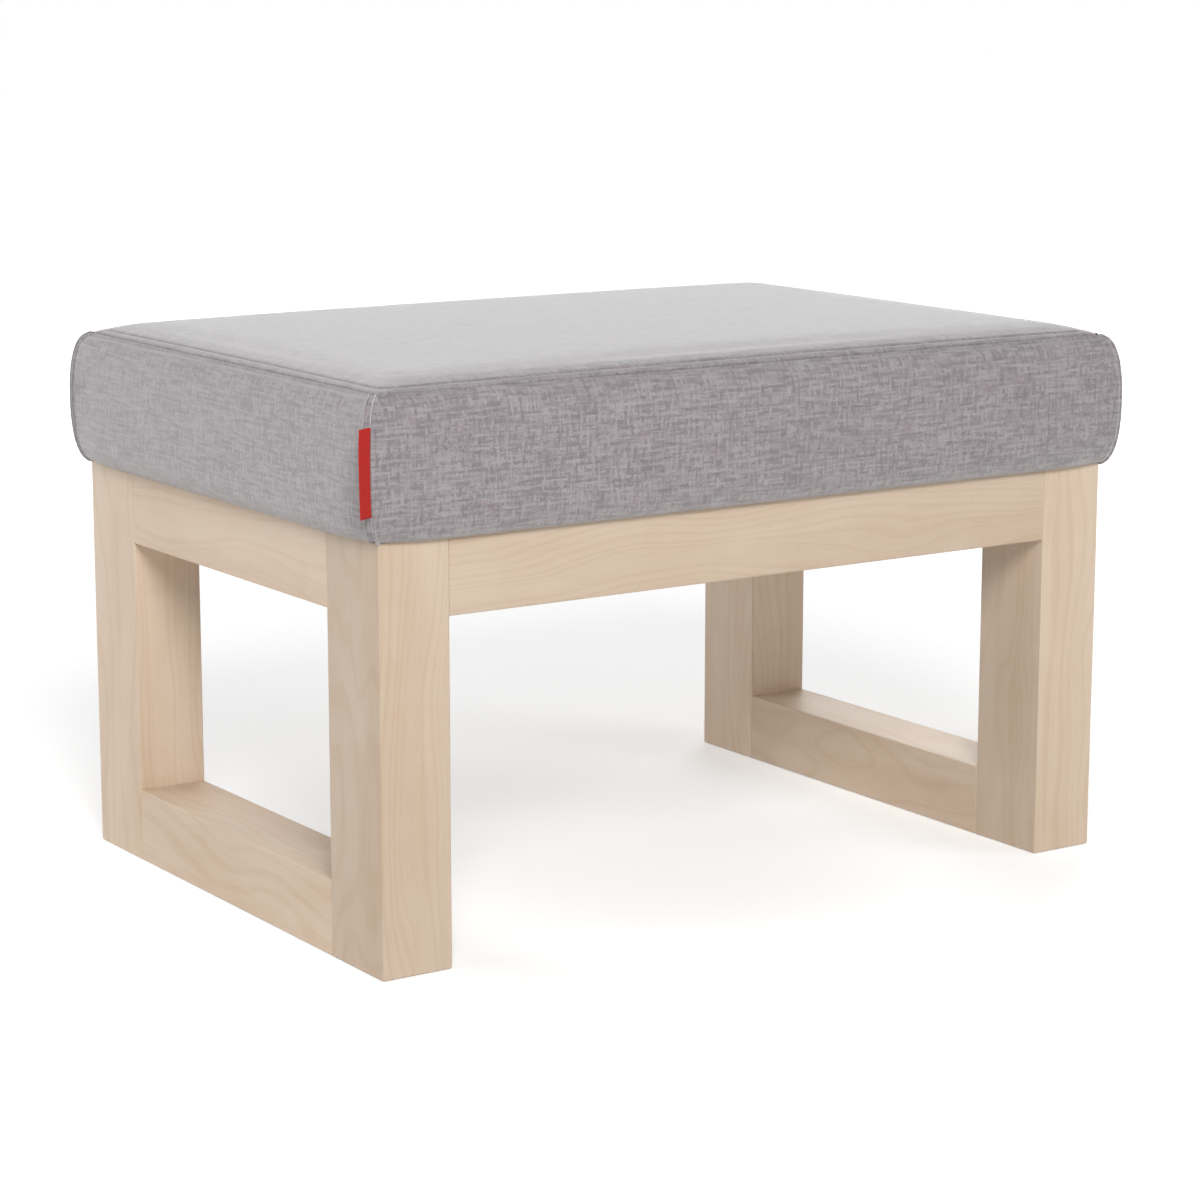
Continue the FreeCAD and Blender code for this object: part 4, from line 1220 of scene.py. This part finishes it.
class OTTOMAN_OT_stage(bpy.types.Operator):
    """Set the floor, lamps, surrounding light and camera"""
    bl_idname = "ottoman.stage"
    bl_label = "Stage"

    def execute(self, context):
        s = context.scene.ottoman_stage
        scene = context.scene
        scene.view_settings.view_transform = "Standard"
        self.add_floor(s)
        self.add_world(scene, s)
        for name, (bearing, height, width, setting) in LAMPS.items():
            self.add_lamp(name, bearing, height, width, getattr(s, setting))
        self.add_camera(scene, s)
        return {"FINISHED"}

    def add_floor(self, s):
        points = [(x * FLOOR_REACH, y * FLOOR_REACH, 0)
                  for x, y in ((-1, -1), (1, -1), (1, 1), (-1, 1))]
        material, recipe, shader = new_material("studio_floor", roughness=0.9, specular=0.0)
        recipe.put(shader.inputs["Base Color"], (0.93, 0.93, 0.93))
        # The camera and reflections see the floor lifted to white, and more so far from the
        # ottoman, where no shadow falls.
        away = recipe.length_of(recipe.object_place())
        lift = recipe.between(away, SHADOW_REACH, WHITE_FROM, s.floor_lift, 1.0)
        recipe.put(shader.inputs["Emission Color"], (1, 1, 1))
        recipe.put(shader.inputs["Emission Strength"],
                   recipe.math("MULTIPLY", recipe.seen_directly(), lift))
        floor = new_piece("studio_floor", points, [(0, 1, 2, 3)], material)

    def add_world(self, scene, s):
        world = bpy.data.worlds.new("white_room")
        world.use_nodes = True
        world.node_tree.nodes.clear()
        recipe = Recipe(world.node_tree)
        strength = recipe.math("MULTIPLY_ADD", recipe.seen_directly(), 1.0 - s.world_light,
                               s.world_light)
        white = recipe.node("ShaderNodeBackground", {"Color": (1, 1, 1), "Strength": strength})
        recipe.node("ShaderNodeOutputWorld", {"Surface": white})
        scene.world = world

    def add_lamp(self, name, bearing, height, width, power):
        """A round soft lamp that faces the ottoman."""
        bearing, height = math.radians(bearing), math.radians(height)
        way = Vector((math.cos(bearing) * math.cos(height), math.sin(bearing) * math.cos(height),
                      math.sin(height)))
        lamp = bpy.data.lights.new(name, "AREA")
        lamp.shape = "DISK"
        lamp.size = width
        lamp.energy = power
        holder = bpy.data.objects.new(name, lamp)
        holder.location = LAMP_AIM + way * LAMP_DISTANCE
        holder.rotation_mode = "QUATERNION"
        holder.rotation_quaternion = way.to_track_quat("Z", "Y")
        bpy.context.scene.collection.objects.link(holder)

    def add_camera(self, scene, s):
        camera = bpy.data.cameras.new("camera")
        camera.lens = s.lens
        camera.sensor_width = 36
        holder = bpy.data.objects.new("camera", camera)
        azimuth, elevation = math.radians(s.azimuth), math.radians(s.elevation)
        back = Vector((math.sin(azimuth) * math.cos(elevation),
                       -math.cos(azimuth) * math.cos(elevation), math.sin(elevation)))
        right = Vector((math.cos(azimuth), math.sin(azimuth), 0))
        up = back.cross(right)
        turn = Matrix((right, up, back)).transposed() @ Matrix.Rotation(
            math.radians(s.roll), 3, "Z")
        holder.rotation_mode = "QUATERNION"
        holder.rotation_quaternion = turn.to_quaternion()
        holder.location = CAMERA_AIM + back * s.distance
        scene.collection.objects.link(holder)
        scene.camera = holder


class OTTOMAN_PT_panel(bpy.types.Panel):
    """Lists the steps that dress the ottoman"""
    bl_idname = "OTTOMAN_PT_panel"
    bl_label = "Ottoman"
    bl_space_type = "VIEW_3D"
    bl_region_type = "UI"
    bl_category = "Ottoman"

    def draw(self, context):
        for step in STEPS:
            self.layout.operator(step.bl_idname)
        for group in (context.scene.ottoman_cushion, context.scene.ottoman_timber,
                      context.scene.ottoman_stage):
            box = self.layout.box()
            for name in group.__annotations__:
                box.prop(group, name)


STEPS = (OTTOMAN_OT_timber, OTTOMAN_OT_hardware, OTTOMAN_OT_filling, OTTOMAN_OT_cover,
         OTTOMAN_OT_label, OTTOMAN_OT_underside, OTTOMAN_OT_stage)
SETTINGS = {"ottoman_cushion": CushionSettings, "ottoman_timber": TimberSettings,
            "ottoman_stage": StageSettings}


def register():
    for group in SETTINGS.values():
        bpy.utils.register_class(group)
    for name, group in SETTINGS.items():
        setattr(bpy.types.Scene, name, bpy.props.PointerProperty(type=group))
    for step in STEPS:
        bpy.utils.register_class(step)
    bpy.utils.register_class(OTTOMAN_PT_panel)


def unregister():
    bpy.utils.unregister_class(OTTOMAN_PT_panel)
    for step in reversed(STEPS):
        bpy.utils.unregister_class(step)
    for name, group in SETTINGS.items():
        delattr(bpy.types.Scene, name)
        bpy.utils.unregister_class(group)


def main():
    register()
    bpy.ops.ottoman.timber()
    bpy.ops.ottoman.hardware()
    bpy.ops.ottoman.filling()
    bpy.ops.ottoman.cover()
    bpy.ops.ottoman.label()
    bpy.ops.ottoman.underside()
    bpy.ops.ottoman.stage()


if __name__ == "__main__":
    main()
